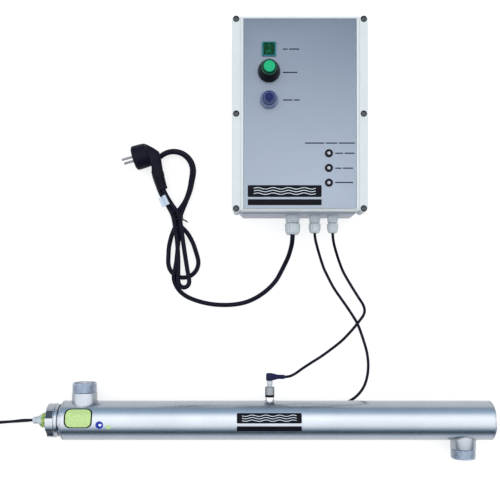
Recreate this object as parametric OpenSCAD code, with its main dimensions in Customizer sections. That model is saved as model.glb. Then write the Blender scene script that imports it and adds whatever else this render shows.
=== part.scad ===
// UV clarifier for ponds and large aquaria: a stainless reactor with a UV lamp in a quartz
// sleeve, and the wall cabinet that powers and monitors it, joined by their own leads.
// It lies on a flat surface: +Z is up, and the origin is at the middle of its footprint.

/* [Reactor] */
// Outside diameter of the reactor tube
tube_od = 76.1; // [75.5:0.1:76.5]
// Wall thickness of the reactor tube
tube_wall = 2; // [1.5:0.1:2.5]
// Outside diameter of the inlet and outlet nipples
nipple_od = 48.3; // [48:0.1:48.7]
// Major diameter of the pipe thread on the nipples
thread_od = 47.8; // [47.4:0.1:47.8]
// Distance from the reactor's axis to the end of a nipple
nipple_reach = 74; // [70:0.5:74]
// Outside diameter of the slotted union nut
nut_od = 66.4; // [66:0.1:67]
// Outside diameter of the quartz sleeve
sleeve_od = 24.5; // [24:0.1:25]
// Diameter of the UV lamp
lamp_d = 15.9; // [15:0.1:16.5]

/* [Cabinet] */
// Width of the cabinet
cab_w = 254; // [252:0.5:254]
// Length of the cabinet
cab_l = 367.6; // [366:0.1:367.6]
// Height of the cabinet to the top of its lid
cab_h = 100; // [100:0.5:101]
// Height of the cabinet's base, below the lid seal
base_h = 76; // [75:0.5:77]
// Wall thickness of the cabinet
cab_wall = 3.5; // [3:0.1:4]
// Length of the corner cut, seen from above
corner_cut = 20; // [16:1:22]
// Diameter of the four wall fixing holes
fixing_hole_d = 5.5; // [4.5:0.1:6]

/* [Controls] */
// Travel of the power button
power_travel = 3.5; // [2:0.5:3.5]
// Travel of the reset button
reset_travel = 3; // [2:0.5:3]
// Tilt of the lamp rocker switch to each side
rocker_tilt = 7; // [5:1:8]

/* [Leads] */
// Diameter of the mains cord
mains_d = 9; // [8:0.1:9]
// Diameter of the lamp and sensor leads
lead_d = 5.5; // [5:0.1:5.5]

/* [Hidden] */
$fn = 96;
over = 1; // how far a cut runs past the face it opens

// Reactor, lying along X
tube_r = tube_od / 2;
axis_y = -346.8;
tube_x0 = -388;
tube_x1 = 448;
plate_t = 3; // end plates
bore_r = tube_r - tube_wall;
inlet_x = -347;
outlet_x = 394.5;
nipple_r = nipple_od / 2;
nipple_bore = 20.9;
thread_len = 19;
neck_r = 28;
neck_bore = 22;
neck_x = -406; // outer end of the neck that the union nut screws onto
nut_r = nut_od / 2;
nut_x0 = -416;
nut_x1 = -394.5;
thread_gap = 0.15; // radial running clearance of the union nut on the neck
nut_lip = 4;
nut_lip_r = 24;
slots = 5;
slot_w = 16;
slot_d = 3.5;
rim_len = 15; // the part of the nut that has the slots
slot_len = 14.4;
slot_turn = 42; // the first slot's angle from straight up
flange_r = 26.5;
flange_t = 3;
hub_r = 11;
hub_x = -434;
sleeve_r = sleeve_od / 2;
sleeve_bore = sleeve_r - 1.6;
sleeve_x0 = -404;
sleeve_x1 = 420;
lamp_x0 = -380;
lamp_x1 = 404;
cap_len = 15;
socket_r = 9.6;
gland_x = -448;
earth_wire_r = 1.6;
earth_turns = 4;

// Sensor, standing out of the reactor's +Y side
sensor_x = 15.6;
boss_r = 8.4;
boss_top = 45.5;
seal_top = 50;
ring_top = 66;
neck_top = 78;
plug_top = 92;
shaft_r = 4.9;
play = 0.3; // gap beside the free turning ring

// Cabinet, lying on its back
cab_x = 70.4;
cab_y = 237;
lid_seal_t = 0.6;
plate_w = 212;
plate_l = 355.6;
plate_sheet = 1.5;
recess = 2;
plate_z = cab_h - recess + plate_sheet; // upper face of the front plate
screw_dx = 119.2;
screw_dy = 177;
screw_r = 5.6;
lobe_r = 7.8;
tower_r = 6.5;
tower_h = 26; // the corner towers hang below the lid's lobes only
shank_r = 2.1;
pilot_r = 2.5;
fixing_dx = 190;
fixing_dy = 300;
wall_y = cab_y - cab_l / 2; // the wall that the glands pass through
control_x = 12.5;
rocker_y = 357.5;
power_y = 316;
reset_y = 263;
led_x = 124.4;
led_y = [163, 135.5, 108];
pivot_z = plate_z + 1;
nameplate_x = -26.7;
nameplate_w = 137;
nameplates = [[81.3, 22], [66, 11]]; // place along Y and height of each

// Glands: place along X, radius across corners, outer end of the nut, radius of the cord
glands = [[60, 15.6, 16, mains_d / 2], [103, 12, 19, lead_d / 2], [138, 11.2, 19, lead_d / 2]];
gland_z = 45;
hex_len = 14;
gland_wall_r = [12.4, 8, 8]; // radius of each gland's hole in the wall

// Inside the cabinet: the mounting plate, and the board that stands on it
deck_w = 210;
deck_l = 320;
deck_z = 10; // upper face of the plate
board_at = [-28, 110, 16];
board_t = 1.6;

// Cord routes, as centre lines laid on the surface
mains_route = [
    [60, 16, 45], [60, 8, 44], [59, -2, 38], [57, -12, 28], [53, -26, 16], [47, -39, 8],
    [39, -55, 5], [31, -70, 5], [15, -88, 5], [-6, -104, 5], [-32, -116, 5], [-63, -121, 5],
    [-97, -120, 5], [-129, -113, 5], [-156, -101, 5], [-171, -84, 6], [-177, -66, 11]
];
sensor_route = [
    [138, 19, 45], [139, 10, 43], [142, -3, 37], [148, -19, 27], [155, -35, 15],
    [163, -52, 6], [172, -68, 3], [184, -88, 3], [196, -107, 3], [205, -121, 3],
    [208, -132, 3], [206, -141, 3], [199, -151, 3], [183, -171, 3], [162, -193, 3],
    [138, -212, 3], [120, -225, 3], [104, -235, 4], [92, -242, 8], [80, -249, 15],
    [68, -256, 25], [56, -261, 34], [45, -262, 38]
];
lamp_route = [
    [103, 19, 45], [104, 10, 43], [107, -1, 38], [112, -15, 28], [118, -30, 16],
    [125, -47, 6], [132, -61, 3], [145, -86, 3], [160, -108, 3], [172, -125, 3],
    [183, -142, 5], [192, -158, 9], [199, -174, 5], [205, -191, 3], [212, -215, 3],
    [215, -240, 3], [213, -265, 3], [205, -288, 3], [190, -306, 3], [170, -318, 3],
    [148, -323, 3], [100, -323, 3], [0, -323, 3], [-100, -323, 3], [-200, -323, 3],
    [-300, -323, 3], [-365, -323, 3], [-385, -324, 3], [-401, -330, 3], [-416, -335, 3],
    [-428, -337, 3], [-441, -344, 3], [-455, -351, 3], [-472, -354, 3], [-526, -357, 3],
    [-560, -358, 3], [-578, -358, 3]
];
tail_route = [
    [-556, -378, 9], [-548, -366, 9], [-538, -359, 9], [-526, -357, 9], [-510, -355, 12],
    [-490, -352, 20], [-470, -348, 31], [-458, -347, 36], [-448, -346.8, 38]
];
coil_centre = [-590, -390.8];
coil_turn_r = 30; // at the middle of the turns
coil_section = 2 * lead_d;

// The tied bundle of mains cord
tie_at = [-168, 52];
upper_loop = [-176, 148, 41]; // centre and radius of the loop's round end
lower_loop = [-157, -36, 31];
fold_loop = [-155, -80, 12];
layer = mains_d;
upper_loop_h = 17;
lower_loop_h = 18;
tie_w = 28;

// Plug on the end of the mains cord, resting on the bundle
plug_at = [-217, 179, 24.5];
plug_turn = 16; // the pins point toward -X, turned this far toward -Y
plug_face = 38; // from the middle of the body to the face
plug_r = 24;
plug_low = -7.5;
pin_len = 22;
pin_gap = [1.9, 9.3]; // half the pins' spacing, across and up
boot_start = [-207, 146, 25];
boot_end = [-195, 108, 21.5];
tag_at = [-190, 85, upper_loop_h];
tag_w = 21;
tag_turn = 20;

function unit(v) = v / norm(v);
function tangent(p, i) = unit(p[min(i + 1, len(p) - 1)] - p[max(i - 1, 0)]);
function side(t) = abs(t.z) > 0.9 ? [1, 0, 0] : unit(cross([0, 0, 1], t));
function cord_ring(p, i, r, n) =
    let (t = tangent(p, i), a = side(t), b = cross(t, a))
    [for (k = [0 : n - 1]) p[i] + r * (cos(360 * k / n) * a + sin(360 * k / n) * b)];

// A plain tube along a cord's route
module cord_tube(route, d, n = 8) {
    rings = len(route);
    points = [for (i = [0 : rings - 1]) each cord_ring(route, i, d / 2, n)];
    sides = [
        for (i = [0 : rings - 2]) for (k = [0 : n - 1])
            [i * n + k, i * n + (k + 1) % n, (i + 1) * n + (k + 1) % n, (i + 1) * n + k]
    ];
    first = [for (k = [n - 1 : -1 : 0]) k];
    last = [for (k = [0 : n - 1]) (rings - 1) * n + k];
    polyhedron(points = points, faces = concat([first], sides, [last]));
}

module ring(r_out, r_in, h) {
    difference() {
        cylinder(r = r_out, h = h);
        translate([0, 0, -over]) cylinder(r = r_in, h = h + 2 * over);
    }
}

// Places with their local Z along the reactor's axis, out of a side of it, or out of the lid
module on_axis(x) { translate([x, axis_y, tube_r]) rotate([0, 90, 0]) children(); }
module branch(x, toward) { translate([x, axis_y, tube_r]) rotate([-90 * toward, 0, 0]) children(); }
module on_plate(x, y) { translate([x, y, plate_z]) children(); }
module at_glands() {
    for (i = [0 : len(glands) - 1]) {
        $gland = glands[i];
        $wall_r = gland_wall_r[i];
        translate([$gland[0], wall_y, gland_z]) rotate([90, 0, 0]) children();
    }
}
module at_lid_screws() {
    for (i = [-1, 1], j = [-1, 0, 1])
        translate([cab_x + i * screw_dx, cab_y + j * screw_dy, 0]) children();
}

// ---- Reactor ----

module reactor_tube() {
    color("lightsteelblue") difference() {
        on_axis(tube_x0 + plate_t) ring(tube_r, bore_r, tube_x1 - tube_x0 - 2 * plate_t);
        branch(inlet_x, 1) cylinder(r = nipple_r, h = nipple_reach);
        branch(outlet_x, -1) cylinder(r = nipple_r, h = nipple_reach);
        branch(sensor_x, 1) cylinder(r = boss_r, h = boss_top);
    }
}

module reactor_end_cap() {
    color("lightsteelblue") on_axis(tube_x1 - plate_t)
        rotate_extrude() polygon([[0, 0], [tube_r, 0], [tube_r, 2], [tube_r - 1, plate_t], [0, plate_t]]);
}

// A nipple's foot follows the inside of the tube wall it is set into
module nipple(x, toward) {
    difference() {
        branch(x, toward) rotate_extrude() polygon([
            [nipple_bore, 0], [nipple_r, 0], [nipple_r, nipple_reach - thread_len],
            [thread_od / 2, nipple_reach - thread_len], [thread_od / 2, nipple_reach - 1.5],
            [thread_od / 2 - 1.5, nipple_reach], [nipple_bore, nipple_reach]
        ]);
        on_axis(x - nipple_od) cylinder(r = bore_r, h = 2 * nipple_od);
    }
}
module inlet_nipple() { color("silver") nipple(inlet_x, 1); }
module outlet_nipple() { color("silver") nipple(outlet_x, -1); }

module head_ferrule() {
    color("silver") union() {
        on_axis(tube_x0) ring(tube_r, neck_bore, plate_t);
        on_axis(neck_x) ring(neck_r, neck_bore, tube_x0 - neck_x);
    }
}

module union_nut() {
    inner = neck_r + thread_gap;
    collar = nut_r - 1.7;
    width = nut_x1 - nut_x0;
    color("gainsboro") difference() {
        on_axis(nut_x0) rotate_extrude() polygon([
            [nut_lip_r, 0], [nut_r - 2.5, 0], [nut_r, 2.5], [nut_r, rim_len],
            [collar, rim_len + 1], [collar, width - 1], [collar - 1, width],
            [inner, width], [inner, nut_lip], [nut_lip_r, nut_lip]
        ]);
        for (i = [0 : slots - 1])
            translate([nut_x0 - over, axis_y, tube_r]) rotate([slot_turn + 360 * i / slots, 0, 0])
                translate([0, -slot_w / 2, nut_r - slot_d]) cube([slot_len + over, slot_w, 2 * slot_d]);
    }
}

module nut_thrust_ring() {
    color("dimgray") on_axis(nut_x0 + nut_lip) ring(flange_r, 20, neck_x - flange_t - nut_x0 - nut_lip);
}

module head_flange() {
    color("lightgray") on_axis(hub_x) difference() {
        rotate_extrude() polygon([
            [0, 0], [hub_r - 1, 0], [hub_r, 1], [hub_r, neck_x - flange_t - hub_x],
            [flange_r, neck_x - flange_t - hub_x], [flange_r, neck_x - hub_x],
            [neck_bore - 0.3, neck_x - hub_x], [neck_bore - 0.3, sleeve_x0 - hub_x], [0, sleeve_x0 - hub_x]
        ]);
        translate([0, 0, 9]) cylinder(r = socket_r + 0.2, h = 40);
        translate([0, 0, -over]) cylinder(r = lead_d / 2 + 0.3, h = 40);
    }
}

module sleeve_seal() {
    color("black") on_axis(sleeve_x0) ring(neck_bore, sleeve_r, 8);
}

module quartz_sleeve() {
    dome_z = sleeve_x1 - sleeve_x0 - sleeve_r;
    color([0.8, 0.9, 1, 0.4]) on_axis(sleeve_x0) difference() {
        union() {
            cylinder(r = sleeve_r, h = dome_z);
            translate([0, 0, dome_z]) sphere(r = sleeve_r);
        }
        translate([0, 0, -over]) cylinder(r = sleeve_bore, h = dome_z + over);
        translate([0, 0, dome_z]) sphere(r = sleeve_bore);
    }
}

// Three-armed support that keeps the sleeve's closed end in the middle of the tube
module sleeve_support() {
    color("silver") on_axis(380) union() {
        ring(sleeve_r + 1.5, sleeve_r, 8);
        for (i = [0 : 2]) rotate([0, 0, 120 * i])
            translate([sleeve_r + 1, -1, 0]) cube([bore_r - sleeve_r - 1.1, 2, 8]);
    }
}

module uv_lamp_glass() {
    color([0.9, 0.95, 1, 0.5]) on_axis(lamp_x0 + cap_len)
        ring(lamp_d / 2, lamp_d / 2 - 1, lamp_x1 - lamp_x0 - 2 * cap_len);
}
module uv_lamp_caps() {
    color("white") for (x = [lamp_x0, lamp_x1 - cap_len]) on_axis(x) cylinder(r = 9, h = cap_len);
}
module uv_lamp_pins() {
    color("gold") for (y = [-3, 3], z = [-3, 3])
        on_axis(lamp_x0 - 7) translate([y, z, 0]) cylinder(r = 1.15, h = 7);
}
module lamp_socket() {
    color("white") on_axis(-424) difference() {
        cylinder(r = socket_r, h = lamp_x0 + 424);
        for (y = [-3, 3], z = [-3, 3]) translate([y, z, 32]) cylinder(r = 1.3, h = 20);
    }
}

// The earth wire wound round the hub of the head
module earth_lead() {
    pitch = 2 * earth_wire_r + 0.1;
    color("yellowgreen") for (i = [0 : earth_turns - 1])
        on_axis(nut_x0 - 3.6 - i * pitch) rotate_extrude()
            translate([hub_r + earth_wire_r + 0.05, 0]) circle(r = earth_wire_r, $fn = 24);
}

module lamp_gland() {
    color("lightgray") on_axis(gland_x) union() {
        rotate_extrude() polygon([[0, 0], [5.4, 0], [7, 1.6], [7, 7], [0, 7]]);
        translate([0, 0, 7]) cylinder(r = 5.6, h = 1);
        translate([0, 0, 8]) cylinder(r = 7, h = 6, $fn = 6);
    }
}

// ---- Sensor ----

module sensor_boss() {
    color("gainsboro") difference() {
        branch(sensor_x, 1) ring(boss_r, shaft_r + 0.1, boss_top);
        on_axis(sensor_x - 2 * boss_r) cylinder(r = bore_r, h = 4 * boss_r);
    }
}
module sensor_seal() {
    color("black") branch(sensor_x, 1) translate([0, 0, boss_top])
        ring(9, shaft_r + 0.1, seal_top - boss_top);
}
module sensor_body() {
    color("silver") branch(sensor_x, 1) difference() {
        translate([0, 0, 30]) cylinder(r = shaft_r, h = ring_top + play - 30);
        translate([0, 0, 30 - over]) cylinder(r = 3.6, h = 2 + over);
    }
}
module sensor_window() {
    color("lightcyan") branch(sensor_x, 1) translate([0, 0, 30]) cylinder(r = 3.6, h = 2);
}

// Knurled ring that turns freely between the seal and the sensor's neck
module sensor_ring() {
    notches = 24;
    color("darkgray") branch(sensor_x, 1) translate([0, 0, seal_top + play]) difference() {
        rotate_extrude() polygon([
            [shaft_r + play, 0], [8.9, 0], [9.3, 0.6], [9.3, 14.6], [8.5, 15.4], [shaft_r + play, 15.4]
        ]);
        for (i = [0 : notches - 1]) rotate([0, 0, 360 * i / notches])
            translate([9.5, 0, 1.5]) cylinder(r = 0.55, h = 12, $fn = 16);
    }
}
module sensor_neck() {
    color("lightgray") branch(sensor_x, 1) translate([0, 0, ring_top + play]) rotate_extrude()
        polygon([[0, 0], [4.4, 0], [4.4, 2.5], [5.8, 5], [5.8, 9], [4.8, neck_top - ring_top - play], [0, neck_top - ring_top - play]]);
}

// Angled plug with its cable boot toward +X
module sensor_plug() {
    mid = (neck_top + plug_top) / 2;
    half = 7.2;
    color("midnightblue") union() {
        translate([sensor_x - half, axis_y + neck_top, tube_r - half])
            cube([2 * half, plug_top - neck_top, 2 * half]);
        translate([sensor_x + half, axis_y + mid, tube_r]) rotate([0, 90, 0])
            rotate_extrude() polygon([[0, 0], [6.6, 0], [4.4, 8], [4.4, 19], [3.4, 22.2], [0, 22.2]]);
    }
}

// ---- Cabinet ----

module cut_corner_plan(w, l, c) {
    x = w / 2;
    y = l / 2;
    translate([cab_x, cab_y]) polygon([
        [c - x, -y], [x - c, -y], [x, c - y], [x, y - c], [x - c, y], [c - x, y], [-x, y - c], [-x, c - y]
    ]);
}

module cabinet_base() {
    inset = 2 * cab_wall;
    color("gainsboro") difference() {
        union() {
            difference() {
                linear_extrude(base_h) cut_corner_plan(cab_w, cab_l, corner_cut);
                translate([0, 0, cab_wall]) linear_extrude(base_h)
                    cut_corner_plan(cab_w - inset, cab_l - inset, corner_cut);
            }
            at_lid_screws() translate([0, 0, base_h - tower_h]) cylinder(r = tower_r, h = tower_h);
        }
        at_lid_screws() translate([0, 0, base_h - 14]) cylinder(r = pilot_r, h = 20);
        at_glands() translate([0, 0, -20]) cylinder(r = $wall_r, h = 40);
        for (i = [-0.5, 0.5], j = [-0.5, 0.5])
            translate([cab_x + i * fixing_dx, cab_y + j * fixing_dy, -over])
                cylinder(d = fixing_hole_d, h = cab_wall + 2 * over);
    }
}

module lid_plan() {
    union() {
        translate([cab_x - 112, cab_y - 181.8]) square([224, 363.6]);
        translate([cab_x - cab_w / 2, cab_y - 176]) square([cab_w, 352]);
        for (i = [-1, 1], j = [-1, 1])
            translate([cab_x + i * screw_dx, cab_y + j * 176]) circle(r = lobe_r);
    }
}

module cabinet_lid() {
    low = base_h + lid_seal_t;
    inset = 2 * cab_wall;
    color("gainsboro") difference() {
        translate([0, 0, low]) linear_extrude(cab_h - low) lid_plan();
        translate([0, 0, low - over]) linear_extrude(cab_h - recess - 3 - low + over)
            cut_corner_plan(2 * screw_dx - 2 * tower_r - 4, cab_l - inset, 6);
        translate([cab_x - plate_w / 2, cab_y - plate_l / 2, cab_h - recess])
            cube([plate_w, plate_l, 10]);
        at_lid_screws() {
            translate([0, 0, low - over]) cylinder(r = 2.6, h = 40);
            translate([0, 0, cab_h - 4.6]) cylinder(r = screw_r + 0.4, h = 10);
        }
        control_holes();
    }
}

module lid_seal() {
    color("dimgray") translate([0, 0, base_h]) difference() {
        linear_extrude(lid_seal_t) cut_corner_plan(cab_w, cab_l, corner_cut);
        translate([0, 0, -over]) linear_extrude(4) cut_corner_plan(cab_w - 7, cab_l - 7, corner_cut);
        at_lid_screws() translate([0, 0, -over]) cylinder(r = tower_r + 0.5, h = 4);
    }
}

module lid_screws() {
    color("slategray") at_lid_screws() difference() {
        union() {
            translate([0, 0, cab_h - 4.6]) cylinder(r = screw_r, h = 4.2);
            translate([0, 0, base_h - 8]) cylinder(r = shank_r, h = cab_h - 4.6 - base_h + 8);
        }
        for (a = [0, 90]) rotate([0, 0, a])
            translate([-4, -0.8, cab_h - 2.6]) cube([8, 1.6, 4]);
    }
}

// Openings in the lid and the front plate for the barrels of the controls
module control_holes() {
    translate([control_x - 11.2, rocker_y - 12, base_h]) cube([22.4, 24, 40]);
    translate([control_x, power_y, base_h]) cylinder(r = 11.4, h = 40);
    translate([control_x, reset_y, base_h]) cylinder(r = 8.2, h = 40);
    for (y = led_y) translate([led_x, y, base_h]) cylinder(r = 4.6, h = 40);
}

module front_plate() {
    gap = 0.8;
    color("lightsteelblue") difference() {
        translate([cab_x - plate_w / 2 + gap, cab_y - plate_l / 2 + gap, cab_h - recess])
            cube([plate_w - 2 * gap, plate_l - 2 * gap, plate_sheet]);
        control_holes();
    }
}

// Two blank plates, one above the other
module front_nameplate() {
    color("black") for (plate = nameplates)
        translate([nameplate_x, plate[0], plate_z]) cube([nameplate_w, plate[1], 0.8]);
}

// ---- Controls ----

module rocker_housing() {
    color("teal") translate([control_x, rocker_y, plate_z]) difference() {
        union() {
            translate([-13.5, -13.5, 0]) cube([27, 27, 3]);
            translate([-11, -11.9, -20]) cube([22, 23.8, 20]);
        }
        translate([-10.3, -11.3, -10]) cube([20.6, 22.6, 20]);
    }
}

// Rocker on a pin that stands out of its two sides
module lamp_rocker() {
    color("darkgreen") translate([control_x - 10, rocker_y, pivot_z]) rotate([rocker_tilt, 0, 0])
        rotate([90, 0, 90]) linear_extrude(20)
            polygon([[-10, 4], [0, 2.4], [10, 4], [9.4, -3], [4, -7], [-4, -7], [-9.4, -3]]);
    color("darkgreen") translate([control_x - 10.2, rocker_y, pivot_z]) rotate([0, 90, 0])
        cylinder(r = 1.2, h = 20.4);
}

module power_bezel() {
    color("black") on_plate(control_x, power_y) rotate_extrude() polygon([
        [9, -20], [11.2, -20], [11.2, 0], [21, 0], [21, 3], [19.6, 9], [16.2, 21], [15.6, 22],
        [14.6, 22], [14.6, 10], [9, 10]
    ]);
}
module power_button() {
    color("mediumseagreen") on_plate(control_x, power_y) rotate_extrude() polygon([
        [0, -24], [8.7, -24], [8.7, 14], [14.2, 14], [14.2, 24.5], [12.6, 28], [10.4, 29.5], [10, 30], [0, 30.5]
    ]);
}
module power_switch_block() {
    color("dimgray") on_plate(control_x, power_y) difference() {
        translate([-15, -12, -46]) cube([30, 24, 26]);
        translate([0, 0, -29]) cylinder(r = 9.3, h = 20);
    }
}

module reset_bezel() {
    color("lightsteelblue") on_plate(control_x, reset_y) rotate_extrude() polygon([
        [6.4, -18], [8, -18], [8, 0], [17.3, 0], [17.3, 2], [16.6, 5], [14.8, 11], [14.2, 12],
        [13.6, 12], [13.6, 5.5], [6.4, 5.5]
    ]);
}
module reset_button() {
    color("midnightblue") on_plate(control_x, reset_y) rotate_extrude() polygon([
        [0, -20], [6.1, -20], [6.1, 9], [13.2, 9], [13.2, 14.5], [11.6, 17], [6, 18.2], [0, 18.5]
    ]);
}
module reset_switch_block() {
    color("dimgray") on_plate(control_x, reset_y) difference() {
        translate([-12, -10, -40]) cube([24, 20, 22]);
        translate([0, 0, -24]) cylinder(r = 6.6, h = 20);
    }
}

module led_bezels() {
    color("black") for (y = led_y) on_plate(led_x, y) rotate_extrude()
        polygon([[3.6, -12], [4.4, -12], [4.4, 0], [7.5, 0], [7.5, 1.4], [5.6, 3], [4, 3], [3.6, 1.4]]);
}
module led_lenses() {
    color("white") for (y = led_y) on_plate(led_x, y) rotate_extrude()
        polygon([[0, -10], [3.5, -10], [3.5, 1], [2.4, 2.3], [0, 3]]);
}

// ---- Cable glands on the cabinet ----

module gland_bodies() {
    color("lightgray") at_glands() difference() {
        union() {
            translate([0, 0, -cab_wall - 6]) cylinder(r = $wall_r - 0.1, h = 12);
            cylinder(r = $gland[1], h = hex_len, $fn = 6);
            cylinder(r = $gland[1] * 0.72, h = hex_len + 6);
        }
        translate([0, 0, -20]) cylinder(r = $gland[3] + 0.4, h = 60);
    }
}

// A dome nut with twelve flats
module gland_nuts() {
    color("lightgray") at_glands() difference() {
        r = $gland[1] * 0.98;
        start = hex_len + 1.2;
        end = wall_y - $gland[2];
        intersection() {
            rotate_extrude() polygon([
                [0, start], [r * 0.96, start], [r, start + 1], [r * 0.98, end - 9],
                [r * 0.9, end - 5], [r * 0.76, end - 1.6], [r * 0.68, end], [0, end]
            ]);
            cylinder(r = r, h = end + over, $fn = 12);
        }
        cylinder(r = $gland[1] * 0.72 + 0.1, h = hex_len + 6);
        cylinder(r = $gland[3] + 0.4, h = end + over);
    }
}

// Rubber inserts that close on the cords, flush with the nuts' ends
module gland_seals() {
    color("black") at_glands()
        translate([0, 0, wall_y - $gland[2] - 8]) cylinder(r = $gland[3] + 0.4, h = 8);
}
module gland_locknuts() {
    color("lightgray") at_glands() translate([0, 0, -cab_wall - 4]) difference() {
        cylinder(r = $wall_r + 3.4, h = 4, $fn = 6);
        translate([0, 0, -over]) cylinder(r = $wall_r, h = 10);
    }
}

// ---- Inside the cabinet ----

module mounting_plate() {
    sheet = 2;
    low = deck_z - sheet;
    color("silver") translate([cab_x, cab_y, low]) difference() {
        translate([-deck_w / 2, -deck_l / 2, 0]) cube([deck_w, deck_l, sheet]);
        for (i = [-0.5, 0.5], j = [-0.5, 0.5]) translate([i * fixing_dx, j * fixing_dy, -over])
            cylinder(r = 6, h = 4);
    }
    color("silver") for (i = [-80, 80], j = [-120, 120])
        translate([cab_x + i, cab_y + j, cab_wall]) cylinder(r = 4, h = low - cab_wall);
}
module ballast() {
    color("dimgray") translate([90, 170, deck_z]) union() {
        cube([62, 200, 2]);
        translate([4, 14, 2]) cube([54, 172, 42]);
    }
}
module monitor_board() {
    color("green") translate(board_at) cube([100, 110, board_t]);
    color("green") for (i = [6, 94], j = [6, 104])
        translate([board_at.x + i, board_at.y + j, deck_z]) cylinder(r = 2.5, h = board_at.z - deck_z);
}
module board_parts() {
    color("black") translate([board_at.x, board_at.y, board_at.z + board_t]) {
        translate([8, 60, 0]) cube([38, 34, 28]);
        for (i = [0 : 2]) translate([56 + i * 14, 70, 0]) cube([11, 28, 15]);
        for (i = [0 : 3]) translate([14 + i * 12, 30, 0]) cylinder(r = 4.5, h = 16);
        translate([66, 20, 0]) cube([18, 8, 3]);
    }
}
module terminal_block() {
    poles = 10;
    color("gray") for (i = [0 : poles - 1])
        translate([20 + i * 10.5, 80, deck_z]) difference() {
            cube([10, 22, 18]);
            translate([5, 6, 12]) cylinder(r = 2.5, h = 10);
            translate([5, 16, 12]) cylinder(r = 2.5, h = 10);
        }
}

// ---- Cords ----

module mains_cord() { color("black") cord_tube(mains_route, mains_d, 10); }
module sensor_lead() { color("black") cord_tube(sensor_route, lead_d); }
module lamp_lead() { color("black") cord_tube(lamp_route, lead_d); }
module lamp_lead_tail() { color("black") cord_tube(tail_route, lead_d); }
module lamp_lead_coil() {
    color("black") translate([coil_centre.x, coil_centre.y, 0]) rotate_extrude()
        translate([coil_turn_r - coil_section / 2, 0]) square([coil_section, coil_section]);
}

module loop_plan(loop) {
    hull() {
        translate(tie_at) circle(r = 1.2 * layer, $fn = 24);
        translate([loop[0], loop[1]]) circle(r = loop[2] + layer / 2, $fn = 32);
    }
}
// Outer shape of the folded and tied cord, one plain solid
module mains_cord_hank() {
    color("black") union() {
        linear_extrude(upper_loop_h) loop_plan(upper_loop);
        linear_extrude(lower_loop_h) union() {
            loop_plan(lower_loop);
            loop_plan(fold_loop);
        }
        translate([tie_at.x - 11, tie_at.y - 16, 0]) cube([22, 32, 3 * layer]);
    }
}
module cord_tie() {
    strap = 2.9;
    color("black") translate([tie_at.x - tie_w / 2, tie_at.y - 5, 0]) difference() {
        cube([tie_w, 10, 3 * layer + 2]);
        translate([strap, -over, -over]) cube([tie_w - 2 * strap, 10 + 2 * over, 3 * layer + over]);
    }
}

module on_plug() { translate(plug_at) rotate([0, 0, plug_turn]) children(); }

// Angled plug: round face, flat body, and a boot where the cord leaves it
module mains_plug() {
    color("black") union() {
        on_plug() translate([-plug_face, 0, 0]) rotate([0, 90, 0]) rotate_extrude()
            polygon([[0, 0], [plug_r - 2, 0], [plug_r, 2], [plug_r, 11], [17, 28], [0, 28]]);
        on_plug() translate([0, 0, plug_low]) linear_extrude(2 * abs(plug_low)) hull() {
            translate([-22, -17]) square([6, 34]);
            translate([4, 3]) circle(r = 13, $fn = 32);
            translate([5, -16]) circle(r = 13, $fn = 32);
        }
        hull() {
            translate(boot_start) sphere(r = 9, $fn = 24);
            translate(boot_end) sphere(r = 6, $fn = 24);
        }
    }
}
module plug_pins() {
    color("silver") on_plug() for (i = [-1, 1])
        translate([-plug_face - pin_len, pin_gap.x * i, pin_gap.y * i]) rotate([0, 90, 0])
            cylinder(r = 2.4, h = pin_len);
}

// Paper flag folded round the cord beside the plug
module cord_tag() {
    color("white") translate(tag_at) rotate([0, 0, tag_turn]) union() {
        translate([-tag_w / 2, -tag_w / 2, 0]) cube([tag_w, tag_w, 2]);
        translate([-6, -tag_w / 2, 0]) cube([12, tag_w, layer + 2]);
    }
}

reactor_tube();
reactor_end_cap();
inlet_nipple();
outlet_nipple();
head_ferrule();
union_nut();
nut_thrust_ring();
head_flange();
sleeve_seal();
quartz_sleeve();
sleeve_support();
uv_lamp_glass();
uv_lamp_caps();
uv_lamp_pins();
lamp_socket();
earth_lead();
lamp_gland();
sensor_boss();
sensor_seal();
sensor_body();
sensor_window();
sensor_ring();
sensor_neck();
sensor_plug();
cabinet_base();
cabinet_lid();
lid_seal();
lid_screws();
front_plate();
front_nameplate();
rocker_housing();
lamp_rocker();
power_bezel();
power_button();
power_switch_block();
reset_bezel();
reset_button();
reset_switch_block();
led_bezels();
led_lenses();
gland_bodies();
gland_nuts();
gland_seals();
gland_locknuts();
mounting_plate();
ballast();
monitor_board();
board_parts();
terminal_block();
mains_cord();
mains_cord_hank();
cord_tie();
cord_tag();
mains_plug();
plug_pins();
lamp_lead();
lamp_lead_coil();
lamp_lead_tail();
sensor_lead();
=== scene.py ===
import math

import bmesh
import bpy
from mathutils import Matrix, Vector


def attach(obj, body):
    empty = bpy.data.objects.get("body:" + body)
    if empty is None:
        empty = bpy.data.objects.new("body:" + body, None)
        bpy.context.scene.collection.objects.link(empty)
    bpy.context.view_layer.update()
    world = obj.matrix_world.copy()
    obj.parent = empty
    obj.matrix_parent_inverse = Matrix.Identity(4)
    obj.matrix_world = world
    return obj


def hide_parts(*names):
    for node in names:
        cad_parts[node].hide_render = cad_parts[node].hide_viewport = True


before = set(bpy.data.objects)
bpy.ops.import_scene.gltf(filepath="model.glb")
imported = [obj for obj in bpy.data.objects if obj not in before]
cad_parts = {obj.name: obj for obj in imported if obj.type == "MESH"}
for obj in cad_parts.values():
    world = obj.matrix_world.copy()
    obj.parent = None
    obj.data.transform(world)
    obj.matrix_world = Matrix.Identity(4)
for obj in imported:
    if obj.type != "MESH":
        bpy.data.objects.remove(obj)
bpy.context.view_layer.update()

# Lengths in this script are millimetres until a mesh or curve is made
MM = 0.001
TAU = 2 * math.pi

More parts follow.
